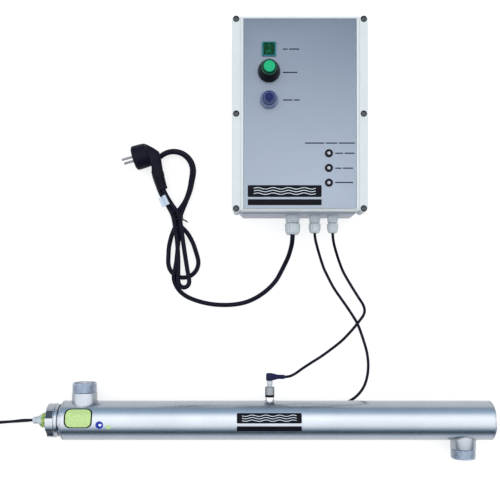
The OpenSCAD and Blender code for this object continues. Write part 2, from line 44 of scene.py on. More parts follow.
# Reactor: its tube's radius and ends, its axis, and what stands out of it: place along it, side, radius, weld
TUBE_R, TUBE_ENDS = 38.05, (-385, 445)
AXIS_Y, AXIS_Z = -346.8, TUBE_R
NIPPLE_R, INLET_X, OUTLET_X, SENSOR_X = 24.15, -347, 394.5, 15.6
BRANCHES = ((INLET_X, 1, NIPPLE_R, 1.3), (OUTLET_X, -1, NIPPLE_R, 1.3), (SENSOR_X, 1, 8.4, 0.8))

# Cabinet: its middle, the front plate's face, and the controls on it
CAB_X, CAB_Y, PLATE_Z = 70.4, 237.0, 99.5
ROCKER, POWER, RESET = (12.5, 357.5), (12.5, 316), (12.5, 263)
LIGHT_X, LIGHTS_Y = 124.4, (163, 135.5, 108)


# ---- Camera ----

camera = bpy.data.objects.new("camera", bpy.data.cameras.new("camera"))
bpy.context.scene.collection.objects.link(camera)
camera.location = (-0.023, -0.1112, 1.35)
camera.data.sensor_width = 36
camera.data.lens = 48.19
camera.data.shift_y = 0.1
bpy.context.scene.camera = camera
bpy.context.scene.view_settings.view_transform = "Standard"


# ---- Materials ----

def new_node(tree, kind, values=None, **settings):
    """A shader node with its settings and the values of its unlinked inputs."""
    made = tree.nodes.new("ShaderNode" + kind)
    for key, value in settings.items():
        setattr(made, key, value)
    for key, value in (values or {}).items():
        made.inputs[key].default_value = value
    return made


def grid_mm(tree, stretch=(1, 1, 1), size=1.0):
    """Object coordinates in units of size millimetres, stretched along each axis."""
    place = new_node(tree, "TexCoord")
    scale = [1000 * s / size for s in stretch]
    mapping = new_node(tree, "Mapping", {"Scale": scale})
    tree.links.new(place.outputs["Object"], mapping.inputs["Vector"])
    return mapping.outputs["Vector"]


def noise_of(tree, stretch, size, detail=3.0):
    texture = new_node(tree, "TexNoise", {"Scale": 1.0, "Detail": detail, "Roughness": 0.55})
    tree.links.new(grid_mm(tree, stretch, size), texture.inputs["Vector"])
    return texture.outputs["Fac"]


def spread(tree, value, low, high):
    """value, which lies mostly from 0.3 to 0.7, spread over low to high."""
    made = new_node(tree, "MapRange", {"From Min": 0.3, "From Max": 0.7, "To Min": low, "To Max": high})
    tree.links.new(value, made.inputs["Value"])
    return made.outputs["Result"]


def ramp_of(tree, value, stops):
    """A colour ramp of (position, colour) stops over value."""
    made = new_node(tree, "ValToRGB")
    elements = made.color_ramp.elements
    while len(elements) < len(stops):
        elements.new(0.5)
    for element, (at, colour) in zip(elements, stops):
        element.position = at
        element.color = (*colour, 1)
    tree.links.new(value, made.inputs["Fac"])
    return made.outputs["Color"]


def scaled(colour, factor):
    return tuple(min(1.0, c * factor) for c in colour)


def finish_of(name, colour, rough, metal=0.0, specular=0.5, grain=(1, 1, 1), size=0.8, depth=0.02, vary=0.08,
              tint=0.08, blotch=25.0, wear=0.0, **sockets):
    """A material with fine grain in its bump and roughness, and slow changes in its colour.

    grain stretches the fine noise of that size, depth is its bump in millimetres, vary changes the
    roughness, tint the colour, in blotches of that many millimetres, and wear lightens convex edges: edge wear,
    and on the dark screws a painted glint.
    """
    made = bpy.data.materials.new(name)
    made.use_nodes = True
    tree = made.node_tree
    shader = tree.nodes["Principled BSDF"]
    shader.inputs["Metallic"].default_value = metal
    shader.inputs["Specular IOR Level"].default_value = specular
    for key, value in sockets.items():
        shader.inputs[key.replace("_", " ")].default_value = value
    fine = noise_of(tree, grain, size)
    broad = noise_of(tree, (1, 1, 1), blotch, detail=2.0)
    shade = ramp_of(tree, broad, [(0.3, scaled(colour, 1 - tint)), (0.7, scaled(colour, 1 + tint))])
    # Convex edges lightened by pointiness: edge wear, and on the dark screws a painted glint
    if wear:
        edge = new_node(tree, "NewGeometry").outputs["Pointiness"]
        lift = new_node(tree, "MapRange", {"From Min": 0.52, "From Max": 0.6, "To Min": 0.0, "To Max": wear})
        tree.links.new(edge, lift.inputs["Value"])
        mix = new_node(tree, "Mix", data_type="RGBA")
        mix.inputs["B"].default_value = (*scaled(colour, 1.6), 1)
        tree.links.new(lift.outputs["Result"], mix.inputs["Factor"])
        tree.links.new(shade, mix.inputs["A"])
        shade = mix.outputs["Result"]
    tree.links.new(shade, shader.inputs["Base Color"])
    roughness = spread(tree, fine, max(0.02, rough - vary), min(1.0, rough + vary))
    tree.links.new(roughness, shader.inputs["Roughness"])
    bump = new_node(tree, "Bump", {"Strength": 1.0, "Distance": depth * MM})
    tree.links.new(fine, bump.inputs["Height"])
    tree.links.new(bump.outputs["Normal"], shader.inputs["Normal"])
    return made


def recoloured(material, colour):
    """material with another colour in place of its own."""
    tree = material.node_tree
    tree.links.new(colour, tree.nodes["Principled BSDF"].inputs["Base Color"])
    return material


def striped_wire():
    """Green insulation with two yellow stripes wound along it, by the tube's own UV map."""
    made = finish_of("earth_wire", (0.1, 0.3, 0.03), 0.4, depth=0.01)
    tree = made.node_tree
    parts = new_node(tree, "SeparateXYZ")
    tree.links.new(new_node(tree, "TexCoord").outputs["UV"], parts.inputs["Vector"])
    turned = new_node(tree, "Math", operation="MULTIPLY_ADD")
    tree.links.new(parts.outputs["X"], turned.inputs[0])
    turned.inputs[1].default_value = 0.05
    tree.links.new(parts.outputs["Y"], turned.inputs[2])
    wave = new_node(tree, "Math", operation="PINGPONG")
    tree.links.new(turned.outputs[0], wave.inputs[0])
    wave.inputs[1].default_value = 0.25
    stripes = ramp_of(tree, wave.outputs[0], [(0.1, (0.07, 0.2, 0.05)), (0.13, (0.46, 0.55, 0.14))])
    return recoloured(made, stripes)


def plate_finish():
    """Anodised aluminium with a fine vertical grain, whose colour is painted paler toward the glands and darker
    toward the back: painted shading.
    """
    made = finish_of("plate_aluminium", (0.4, 0.45, 0.55), 0.42, metal=0.55, grain=(9, 0.25, 1), size=2.2,
                     depth=0.006, vary=0.06, tint=0.03)
    tree = made.node_tree
    parts = new_node(tree, "SeparateXYZ")
    tree.links.new(new_node(tree, "TexCoord").outputs["Object"], parts.inputs["Vector"])
    # Painted shade: the plate's colour darkens along it from the glands toward the back
    along = new_node(tree, "MapRange", {"From Min": 0.06, "From Max": 0.415, "To Min": 0.0, "To Max": 1.0})
    tree.links.new(parts.outputs["Y"], along.inputs["Value"])
    painted_shade_fade = ramp_of(tree, along.outputs["Result"], [
        (0.0, (0.25, 0.285, 0.345)), (0.45, (0.19, 0.222, 0.275)), (1.0, (0.125, 0.152, 0.2))])
    lines = spread(tree, noise_of(tree, (9, 0.25, 1), 2.2), 0.0, 0.12)
    mix = new_node(tree, "Mix", data_type="RGBA")
    mix.inputs["B"].default_value = (0.1, 0.12, 0.16, 1)
    tree.links.new(lines, mix.inputs["Factor"])
    tree.links.new(painted_shade_fade, mix.inputs["A"])
    return recoloured(made, mix.outputs["Result"])


def board_finish():
    """Green solder mask over a net of copper tracks."""
    made = finish_of("circuit_board", (0.02, 0.15, 0.05), 0.35, depth=0.01)
    tree = made.node_tree
    tracks = new_node(tree, "TexBrick", {"Scale": 1.0, "Mortar Size": 0.06, "Brick Width": 2.5,
                                         "Row Height": 1.2})
    tree.links.new(grid_mm(tree, (1, 1, 1), 3.0), tracks.inputs["Vector"])
    shade = ramp_of(tree, tracks.outputs["Fac"], [(0.4, (0.012, 0.1, 0.035)), (0.6, (0.05, 0.3, 0.12))])
    return recoloured(made, shade)


STEEL = (0.375, 0.402, 0.447)
LOOKS = {
    "stainless": dict(colour=STEEL, rough=0.27, metal=1.0, grain=(0.08, 3, 3), size=1.6, depth=0.0025,
                      vary=0.05, tint=0.04, blotch=60.0),
    "stainless_turned": dict(colour=(0.37, 0.385, 0.42), rough=0.22, metal=1.0, grain=(8, 8, 0.8),
                             size=2.0, depth=0.006, vary=0.06, tint=0.05, wear=0.4),
    "pipe_steel": dict(colour=(0.33, 0.352, 0.39), rough=0.3, metal=1.0, grain=(0.5, 0.5, 4), size=2.0,
                       depth=0.0015, vary=0.03, tint=0.03, blotch=40.0),
    # Near-black steel for the nut's slots: painted shade
    "slot_painted_shade": dict(colour=(0.06, 0.07, 0.085), rough=0.3, metal=1.0, depth=0.004, tint=0.1),
    "thread_steel": dict(colour=(0.42, 0.46, 0.53), rough=0.3, metal=1.0, grain=(8, 8, 0.8), size=2.0,
                         depth=0.01, vary=0.06, tint=0.1, blotch=8.0, wear=0.5),
    "weld": dict(colour=(0.34, 0.35, 0.37), rough=0.36, metal=1.0, size=1.2, depth=0.08, tint=0.3,
                 blotch=5.0),
    "chrome": dict(colour=(0.55, 0.56, 0.58), rough=0.12, metal=1.0, depth=0.002, vary=0.04, tint=0.03),
    # The case's walls: the lid's plastic made darker and bluer, painted shade
    "case_plastic_painted_shade": dict(colour=(0.34, 0.365, 0.43), rough=0.48, size=0.7, depth=0.03, tint=0.02,
                         specular=0.4),
    # Dark screw heads: their lightened edges are a painted glint
    "screw_dark": dict(colour=(0.05, 0.055, 0.06), rough=0.3, metal=1.0, depth=0.01, tint=0.2, blotch=3.0,
                       wear=0.6),
    "navy_plastic": dict(colour=(0.006, 0.013, 0.075), rough=0.3, depth=0.01, tint=0.15, specular=0.12),
    "pin_steel": dict(colour=(0.24, 0.24, 0.25), rough=0.25, metal=1.0, depth=0.003),
    "plated_steel": dict(colour=(0.2, 0.215, 0.23), rough=0.34, metal=1.0, depth=0.01, wear=0.5),
    "cabinet_plastic": dict(colour=(0.46, 0.49, 0.495), rough=0.48, size=0.7, depth=0.03, tint=0.02,
                            specular=0.4),
    "gland_plastic": dict(colour=(0.37, 0.41, 0.435), rough=0.42, size=0.6, depth=0.02, tint=0.03, wear=0.2),
    "black_plastic": dict(colour=(0.004, 0.004, 0.007), rough=0.32, depth=0.01, tint=0.15, wear=0.3,
                          specular=0.1),
    "plug_plastic": dict(colour=(0.004, 0.004, 0.01), rough=0.42, size=0.7, depth=0.03, tint=0.2, wear=0.3,
                         specular=0.07),
    "green_lens": dict(colour=(0.0, 0.3, 0.125), rough=0.2, depth=0.003, specular=0.15),
    # Paler green for the power button's edge ring: a painted highlight
    "green_edge_painted_highlight": dict(colour=(0.03, 0.2, 0.11), rough=0.3, depth=0.003),
    # Far darker copy of the button's green for its sides: painted shade
    "green_dome_painted_shade": dict(colour=(0.0, 0.028, 0.014), rough=0.22, depth=0.003, specular=0.12),
    "dark_green_lens": dict(colour=(0.0, 0.038, 0.014), rough=0.2, depth=0.004, tint=0.6, blotch=7.0,
                            specular=0.06),
    "teal_plastic": dict(colour=(0.01, 0.13, 0.15), rough=0.25, depth=0.005, tint=0.25, blotch=9.0,
                         specular=0.2),
    "blue_plastic": dict(colour=(0.004, 0.006, 0.04), rough=0.3, depth=0.01, tint=0.15, specular=0.12),
    "boot_clear": dict(colour=(0.15, 0.19, 0.3), rough=0.25, depth=0.008, tint=0.2, blotch=6.0,
                       specular=0.35),
    "lens_white": dict(colour=(0.36, 0.39, 0.45), rough=0.2, depth=0.004, tint=0.25, blotch=2.5,
                       specular=0.3),
    "rubber_black": dict(colour=(0.008, 0.008, 0.01), rough=0.6, size=0.5, depth=0.03, specular=0.1),
    "seal_grey": dict(colour=(0.22, 0.23, 0.25), rough=0.6, size=0.5, depth=0.03),
    "cord_black": dict(colour=(0.0035, 0.0037, 0.011), rough=0.5, grain=(1, 1, 1), size=1.0, depth=0.03,
                       tint=0.2, blotch=14.0, specular=0.07),
    "quartz": dict(colour=(0.9, 0.95, 1.0), rough=0.04, vary=0.02, depth=0.001, tint=0.01,
                   Transmission_Weight=1.0, IOR=1.46),
    "ceramic": dict(colour=(0.75, 0.74, 0.7), rough=0.35, depth=0.01, tint=0.04),
    "brass": dict(colour=(0.72, 0.53, 0.22), rough=0.25, metal=1.0, depth=0.005),
    "component_black": dict(colour=(0.035, 0.036, 0.04), rough=0.45, size=0.6, depth=0.03, tint=0.15,
                            wear=0.3),
    "nameplate": dict(colour=(0.003, 0.003, 0.006), rough=0.35, depth=0.006, tint=0.15, specular=0.06),
    "print_pale": dict(colour=(0.62, 0.68, 0.74), rough=0.4, depth=0.004),
    "legend": dict(colour=(0.012, 0.016, 0.035), rough=0.5, depth=0.004, tint=0.3, blotch=3.0, specular=0.1),
    "tag_white": dict(colour=(0.38, 0.44, 0.52), rough=0.6, size=0.4, depth=0.03, tint=0.06, blotch=8.0),
    "label_green": dict(colour=(0.34, 0.47, 0.17), rough=0.4, depth=0.006, tint=0.1, blotch=5.0),
    "label_edge": dict(colour=(0.006, 0.01, 0.006), rough=0.4, depth=0.006, specular=0.1),
    "label_blue": dict(colour=(0.008, 0.02, 0.25), rough=0.35, depth=0.006, tint=0.2, blotch=2.0,
                       specular=0.2),
}
MATERIAL = {name: finish_of(name, **look) for name, look in LOOKS.items()}
MATERIAL.update(plate_aluminium=plate_finish(), earth_wire=striped_wire(), circuit_board=board_finish())


# ---- Geometry, added to a bmesh in millimetres ----

def at(x=0.0, y=0.0, z=0.0):
    return Matrix.Translation((x, y, z))


def frame_at(origin, x_axis, z_axis):
    """A place with its local x and z along these directions."""
    z = Vector(z_axis).normalized()
    x = (Vector(x_axis) - z * z.dot(Vector(x_axis))).normalized()
    m = Matrix((x, z.cross(x), z)).transposed().to_4x4()
    m.translation = Vector(origin)
    return m


def on_axis(x):
    """Local z along the reactor, local x straight up."""
    return frame_at((x, AXIS_Y, AXIS_Z), (0, 0, 1), (1, 0, 0))


def branch(x, toward):
    """Local z out of the reactor's +Y or -Y side."""
    return frame_at((x, AXIS_Y, AXIS_Z), (0, 0, 1), (0, toward, 0))


def skin(bm, loops, caps=True, closed=False, material=0):
    """A surface through loops that have the same number of points."""
    rows = [[bm.verts.new(p) for p in loop] for loop in loops]
    count = len(rows[0])
    pairs = list(zip(rows, rows[1:])) + ([(rows[-1], rows[0])] if closed else [])
    faces = []
    for a, b in pairs:
        for i in range(count):
            j = (i + 1) % count
            faces.append(bm.faces.new((a[i], a[j], b[j], b[i])))
    if caps and not closed:
        faces += [bm.faces.new(rows[0][::-1]), bm.faces.new(rows[-1])]
    for face in faces:
        face.material_index = material
    return faces


def fillet(points, radius, steps=4, ring=False):
    """points with each corner rounded, by at most 45% of its sides."""
    made = []
    count = len(points)
    for i, p in enumerate(points):
        p = Vector(p)
        if not ring and i in (0, count - 1):
            made.append(p)
            continue
        a, b = Vector(points[i - 1]) - p, Vector(points[(i + 1) % count]) - p
        if a.length < 1e-6 or b.length < 1e-6 or a.normalized().dot(b.normalized()) < -0.995:
            made.append(p)
            continue
        half = a.angle(b) / 2
        back = min(radius / math.tan(half), 0.45 * a.length, 0.45 * b.length)
        start, end = p + a.normalized() * back, p + b.normalized() * back
        for k in range(steps + 1):
            t = k / steps
            made.append((1 - t) ** 2 * start + 2 * t * (1 - t) * p + t * t * end)
    return made


def polar(bm, levels, place, shape=None, angles=96, material=0, caps=True, closed=False):
    """A body of revolution through (radius, z) levels. shape(radius, angle, z) may change a radius.

    A closed one runs from its last level back to its first."""
    if isinstance(angles, int):
        angles = [TAU * i / angles for i in range(angles)]
    loops = []
    for r, z in levels:
        ring = []
        for a in angles:
            bent = shape(r, a, z) if shape else r
            ring.append(place @ Vector((bent * math.cos(a), bent * math.sin(a), z)))
        loops.append(ring)
    return skin(bm, loops, caps, closed, material)


def turned(bm, profile, place, radius=0.5, angles=96, material=0, steps=3):
    """A turned solid from a closed or open (radius, z) outline with rounded corners.

    An outline that starts and ends on the axis is solid, and any other is a ring."""
    solid = profile[0][0] < 1e-6 and profile[-1][0] < 1e-6
    corners = fillet(profile, radius, steps, ring=not solid)
    if solid:
        corners = [p for p in corners if p[0] > 1e-6]
    return polar(bm, corners, place, angles=angles, material=material, caps=solid, closed=not solid)


def rod(r, low, high, place, angles=48):
    """A plain cylinder as a bmesh of its own."""
    bm = bmesh.new()
    polar(bm, [(r, low), (r, high)], place, angles=angles)
    return bm


def circle(r, z, place):
    """A closed line, whose last point is its first."""
    turns = [TAU * k / 96 for k in range(97)]
    return [place @ Vector((r * math.cos(a), r * math.sin(a), z)) for a in turns]


def sided(count, flat, turn=0.0):
    """A shape for polar(): radii cut by count flats at that distance from the axis."""
    def shape(r, a, z):
        step = TAU / count
        off = (a - turn + step / 2) % step - step / 2
        return min(r, flat / math.cos(off))
    return shape


def add_mesh(bm, other, place=None, material=None):
    """Adds the bmesh other to bm, and frees it."""
    if place is not None:
        bmesh.ops.transform(other, matrix=place, verts=other.verts)
    if material is not None:
        for face in other.faces:
            face.material_index = material
    mesh = bpy.data.meshes.new("part")
    other.to_mesh(mesh)
    other.free()
    bm.from_mesh(mesh)
    bpy.data.meshes.remove(mesh)


def box(bm, low, high, radius=0.5, place=None, material=0, steps=3):
    """A block with rounded edges between two corners."""
    made = bmesh.new()
    bmesh.ops.create_cube(made, size=1.0)
    low, high = Vector(low), Vector(high)
    for v in made.verts:
        v.co = Vector([low[i] + (v.co[i] + 0.5) * (high[i] - low[i]) for i in range(3)])
    if radius:
        bmesh.ops.bevel(made, geom=made.edges[:], offset=radius, segments=steps, profile=0.5, affect="EDGES",
                        clamp_overlap=True)
    add_mesh(bm, made, place, material)


def inset(loop, by):
    """A closed 2D loop, moved inward along its own normals. It runs anticlockwise."""
    made = []
    for i, p in enumerate(loop):
        a, b = Vector(loop[i - 1]), Vector(loop[(i + 1) % len(loop)])
        along = (b - a).normalized()
        made.append(Vector(p) + Vector((-along.y, along.x)) * by)
    return made


def rounded(w, h, r, steps=6):
    """A rounded rectangle about the origin, anticlockwise."""
    corners = [(-w / 2, -h / 2), (w / 2, -h / 2), (w / 2, h / 2), (-w / 2, h / 2)]
    return fillet(corners, r, steps, ring=True)


def oval(w, h, count=48):
    """An ellipse about the origin, anticlockwise."""
    turns = [TAU * i / count for i in range(count)]
    return [Vector((w / 2 * math.cos(a), h / 2 * math.sin(a))) for a in turns]


def block(low, high):
    """A sharp block as a bmesh of its own."""
    bm = bmesh.new()
    box(bm, low, high, radius=0)
    return bm


def stack(bm, levels, place=None):
    """A solid through (outline, inset, height) levels."""
    place = place or Matrix()
    skin(bm, [[place @ Vector((p.x, p.y, z)) for p in inset(outline, by)] for outline, by, z in levels])


def slab(bm, centre, size, r, low, high, edge, steps=2):
    """A flat rounded rectangle with rounded upper and lower edges."""
    outline = [p + Vector(centre) for p in rounded(*size, r)]
    turns = [math.pi / 2 * k / steps for k in range(steps + 1)]
    levels = [(outline, edge * (1 - math.sin(t)), low + edge * (1 - math.cos(t))) for t in turns]
    stack(bm, levels + [(outline, by, high + low - z) for _, by, z in reversed(levels)])


def cut(bm, *tools):
    """bm with the closed bmeshes tools cut out of it, as a new bmesh."""
    made = bpy.data.objects.new("cut", to_mesh(bm))
    bpy.context.scene.collection.objects.link(made)
    others = []
    for tool in tools:
        other = bpy.data.objects.new("tool", to_mesh(tool))
        bpy.context.scene.collection.objects.link(other)
        modifier = made.modifiers.new("cut", "BOOLEAN")
        modifier.operation, modifier.solver, modifier.object = "DIFFERENCE", "EXACT", other
        others.append(other)
    bpy.context.view_layer.update()
    mesh = bpy.data.meshes.new_from_object(made.evaluated_get(bpy.context.evaluated_depsgraph_get()))
    result = bmesh.new()
    result.from_mesh(mesh)
    for o in (made, *others):
        data = o.data
        bpy.data.objects.remove(o)
        bpy.data.meshes.remove(data)
    bpy.data.meshes.remove(mesh)
    return result


def to_mesh(bm):
    mesh = bpy.data.meshes.new("mesh")
    bmesh.ops.recalc_face_normals(bm, faces=bm.faces)
    bm.to_mesh(mesh)
    bm.free()
    return mesh


def tube(bm, points, radius, sides=8, material=0, flatten=1.0):
    """A tube along points, with its length and turn as its UV map. flatten stretches it across."""
    loops = []
    normal = None
    total = len(points)
    uv = bm.loops.layers.uv.verify()
    for i, p in enumerate(points):
        along = (Vector(points[min(i + 1, total - 1)]) - Vector(points[max(i - 1, 0)])).normalized()
        if normal is None:
            normal = along.orthogonal().normalized()
        normal = (normal - along * normal.dot(along)).normalized()
        across = along.cross(normal)
        loops.append([Vector(p) + radius * (math.cos(TAU * k / sides) * normal
                                            + flatten * math.sin(TAU * k / sides) * across)
                      for k in range(sides)])
    faces = skin(bm, loops, material=material)
    run = [0.0]
    for a, b in zip(points, points[1:]):
        run.append(run[-1] + (Vector(b) - Vector(a)).length)
    for n, face in enumerate(faces[: (total - 1) * sides]):
        i, k = divmod(n, sides)
        for loop, (di, dk) in zip(face.loops, ((0, 0), (0, 1), (1, 1), (1, 0))):
            loop[uv].uv = (run[i + di], (k + dk) / sides)


def keep(bm, name, body, slot, node=None, materials=(), sharp=32):
    """Makes a piece from a bmesh in millimetres, in its slot's material or in materials, to stand for node."""
    bmesh.ops.recalc_face_normals(bm, faces=bm.faces)
    for face in bm.faces:
        face.smooth = True
    bmesh.ops.scale(bm, vec=(MM, MM, MM), verts=bm.verts)
    mesh = bpy.data.meshes.new(name)
    bm.to_mesh(mesh)
    bm.free()
    mesh.set_sharp_from_angle(angle=math.radians(sharp))
    for m in materials or [slot]:
        mesh.materials.append(MATERIAL[m])
    made = bpy.data.objects.new(name, mesh)
    bpy.context.scene.collection.objects.link(made)
    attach(made, body)
    if node:
        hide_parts(node)


# ---- Cords ----

# Length of one step of a cord's line
CORD_STEP = 3.0


def resampled(points, step):
    """points spaced evenly, about a step apart."""
    points = [Vector(p) for p in points]
    run = [0.0]
    for a, b in zip(points, points[1:]):
        run.append(run[-1] + (b - a).length)
    count = max(2, round(run[-1] / step))
    made, i = [], 0
    for n in range(count + 1):
        d = run[-1] * n / count
        while i < len(run) - 2 and run[i + 1] < d:
            i += 1
        share = (d - run[i]) / max(1e-9, run[i + 1] - run[i])
        made.append(points[i].lerp(points[i + 1], share))
    return made


def smoothed(points, passes):
    """An evenly spaced line through points, relaxed so that its corners are bends. Its ends stay."""
    line = resampled(points, CORD_STEP)
    for _ in range(passes):
        line = [line[0]] + [(a + 2 * p + b) / 4 for a, p, b in zip(line, line[1:], line[2:])] + [line[-1]]
    return line


def through(points):
    """A smooth line that passes through points (Catmull-Rom)."""
    p = [Vector(q) for q in points]
    p = [2 * p[0] - p[1]] + p + [2 * p[-1] - p[-2]]
    made = []
    for a, b, c, d in zip(p, p[1:], p[2:], p[3:]):
        for k in range(8):
            t = k / 8
            made.append(0.5 * (2 * b + (c - a) * t + (2 * a - 5 * b + 4 * c - d) * t * t
                               + (3 * b - a - 3 * c + d) * t ** 3))
    return resampled(made + [p[-2]], CORD_STEP)


def cord_curve(name, line, diameter, stands_for):
    """A cord as one open spline along line, in the row frame."""
    data = bpy.data.curves.new(name, "CURVE")
    data.dimensions = "3D"
    data.bevel_depth = diameter / 2 * MM
    data.bevel_resolution = 5
    data.use_fill_caps = True
    spline = data.splines.new("POLY")
    spline.points.add(len(line) - 1)
    for point, p in zip(spline.points, line):
        point.co = (*(p * MM), 1)
    spline.use_smooth = True
    data.materials.append(MATERIAL["cord_black"])
    made = bpy.data.objects.new(name, data)
    bpy.context.scene.collection.objects.link(made)
    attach(made, "root")
    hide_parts(*stands_for)
    return made


MAINS_D, LEAD_D = 9.0, 5.5
# The tie of the mains bundle, and how far the loops' sides bow out
TIE = Vector((-168, 52, 0))
BOW = 5.0
MAINS_ROUTE = [
    (60, 20, 45), (60, 16, 45), (60, 8, 44), (59, -2, 38), (57, -12, 28), (53, -26, 16), (47, -39, 8),
    (39, -55, 5), (31, -70, 4.6), (15, -88, 4.5), (-6, -104, 4.5), (-32, -116, 4.5), (-63, -121, 4.5),
    (-97, -120, 4.5), (-129, -113, 4.5), (-156, -101, 4.5), (-171, -84, 6), (-177, -66, 11),
]
SENSOR_ROUTE = [
    (138, 22, 45), (138, 19, 45), (139, 10, 43), (142, -3, 37), (148, -19, 27), (155, -35, 15),
    (163, -52, 6), (172, -68, 3), (184, -88, 3), (196, -107, 3), (205, -121, 3),
    (208, -132, 3), (206, -141, 3), (199, -151, 3), (183, -171, 3), (162, -193, 3),
    (138, -212, 3), (120, -225, 3), (104, -235, 4), (92, -242, 8), (80, -249, 15),
    (68, -256, 25), (56, -261, 34), (45, -262, 38), (42, -262, 38),
]
LAMP_ROUTE = [
    (103, 22, 45), (103, 19, 45), (104, 10, 43), (107, -1, 38), (112, -15, 28), (118, -30, 16),
    (125, -47, 6), (132, -61, 3), (145, -86, 3), (160, -108, 3), (172, -125, 3),
    (183, -142, 5), (192, -158, 9), (199, -174, 5), (205, -191, 3), (212, -215, 3),
    (215, -240, 3), (213, -265, 3), (205, -288, 3), (190, -306, 3), (170, -318, 3),
    (148, -323, 3), (100, -323, 3), (0, -323, 3), (-100, -323, 3), (-200, -323, 3),
    (-300, -323, 3), (-365, -323, 3), (-385, -324, 3), (-401, -330, 3), (-416, -335, 3),
    (-428, -337, 3), (-441, -344, 3), (-455, -351, 3), (-472, -354, 3), (-526, -357, 3),
    (-560, -358, 3),
]
TAIL_ROUTE = [
    (-555, -386, 9), (-549, -369, 9), (-538, -360, 9), (-526, -357, 9), (-510, -355, 12),
    (-490, -352, 20), (-470, -348, 31), (-458, -347, 36), (-448, -346.8, 38), (-445, -346.8, 38),
]
COIL = Vector((-590, -390.8, 0))


def teardrop(centre, radius, clockwise, z, tie_z):
    """A loop that starts and ends at the tie, at the heights tie_z there: its round end and its bowed sides."""
    centre = Vector((*centre, 0))
    out = TIE - centre
    reach = math.acos(min(1.0, radius / out.length))
    start = math.atan2(out.y, out.x)
    turn = -1 if clockwise else 1
    count = 20
    sweep = TAU - 2 * reach
    arc = [centre + Vector((radius * math.cos(start + turn * (reach + sweep * k / count)),
                            radius * math.sin(start + turn * (reach + sweep * k / count)), z))
           for k in range(count + 1)]

    def bowed(end, height):
        side = end - centre - (end - centre).project(out)
        side.z = 0
        tied = Vector((TIE.x, TIE.y, height))
        return [end.lerp(tied, share) + side.normalized() * BOW for share in (0.3, 0.6)]

    return bowed(arc[0], tie_z[0])[::-1] + arc + bowed(arc[-1], tie_z[1])


def through_tie(side, z, up):
    """The two ends of a strand where the tie holds it, in the order that the cord runs."""
    along, across = Vector((-0.09, 0.996, 0)), Vector((0.996, 0.09, 0))
    ends = [TIE + across * side + along * d + Vector((0, 0, z)) for d in (-4, 0, 4)]
    return ends if up else ends[::-1]


def bundle_line():
    """The mains cord from the last point of its free stretch to the plug's boot."""
    line = [Vector((-173, -52, 13.4)), Vector((-170, -36, 13.4)), Vector((-168, -14, 13.4))]
    line += through_tie(6, 14.6, True)
    line += teardrop((-176, 148), 41, False, 4.5, (14.6, 6.2))
    line += through_tie(0, 6.2, False)
    line += teardrop((-157, -36), 31, False, 4.5, (6.2, 14.6))
    line += through_tie(-6, 14.6, True)
    line += teardrop((-176, 147), 38, False, 13.2, (14.6, 23.2))
    line += through_tie(-6, 23.2, False)
    line += [Vector((-168, 10, 20)), Vector((-166, -30, 15)), Vector((-166.5, -60, 13.5))]
    line += [Vector((-155 + 12 * math.cos(a), -76 + 12 * math.sin(a), 13.5))
             for a in [math.pi * (1 + k / 8) for k in range(9)]]
    line += [Vector((-147.5, -55, 14)), Vector((-154, -10, 19))]
    line += through_tie(6, 23.2, True)
    line += [Vector((-176, 75, 24)), Vector((-187, 92, 23.5)), Vector((-195, 108, 22.5))]
    return line


def coil_line():
    """Nearly four turns of the lamp lead: outer, inner, upper inner and upper outer."""
    line = []
    for k in range(3 * 36 + 28):
        turn = k / 36
        if turn < 1:
            r, z = 32.8, 2.75
        elif turn < 2:
            r, z = 27.2, 2.75
        elif turn < 3:
            r, z = 27.2, 8.25
        else:
            r, z = 32.8, 8.25
        a = math.pi / 2 + TAU * turn
        line.append(COIL + Vector((r * math.cos(a), r * math.sin(a), z)))
    return line


mains_line = smoothed(through(MAINS_ROUTE) + bundle_line() + [Vector((-197, 113, 22.8))], 10)
lamp_line = smoothed(through(LAMP_ROUTE) + coil_line() + through(TAIL_ROUTE), 4)
sensor_line = smoothed(through(SENSOR_ROUTE), 3)
mains_cord = cord_curve("mains_cord_laid", mains_line, MAINS_D, ["mains_cord", "mains_cord_hank"])
lamp_lead = cord_curve("lamp_lead_laid", lamp_line, LEAD_D, ["lamp_lead", "lamp_lead_coil", "lamp_lead_tail"])
sensor_lead = cord_curve("sensor_lead_laid", sensor_line, LEAD_D, ["sensor_lead"])


# ---- Reactor ----

def body_tube():
    """The reactor's tube, open where the nipples and the sensor's boss stand in it."""
    low, high = TUBE_ENDS
    bm = rod(TUBE_R, low, high, on_axis(0), 200)
    tools = [rod(TUBE_R - 2, low - 1, high + 1, on_axis(0), 120)]
    tools += [rod(r, 0, 60, branch(x, toward), 80) for x, toward, r, _ in BRANCHES]
    keep(cut(bm, *tools), "body_tube", "root", "stainless", "reactor_tube", sharp=40)


def weld_bead(bm, x, toward, radius, bead):
    """A rippled bead where a pipe of that radius meets the tube."""
    count = 240
    place = branch(x, toward)
    line = []
    for i in range(count):
        a = TAU * i / count
        up, along = (radius + 0.3) * math.cos(a), (radius + 0.3) * math.sin(a)
        line.append(place @ Vector((up, along, math.sqrt(TUBE_R ** 2 - up * up))))
    loops = []
    for i, p in enumerate(line):
        forward = (line[(i + 1) % count] - line[i - 1]).normalized()
        out = Vector((0, toward, 0))
        out = (out - forward * out.dot(forward)).normalized()
        side = forward.cross(out)
        r = bead * (0.85 + 0.15 * abs(math.sin(i * 0.42))) * (1 + 0.06 * math.sin(i * 1.7))
        turns = [TAU * k / 12 for k in range(12)]
        loops.append([p + r * (math.cos(a) * out + math.sin(a) * side) for a in turns])
    skin(bm, loops, closed=True)


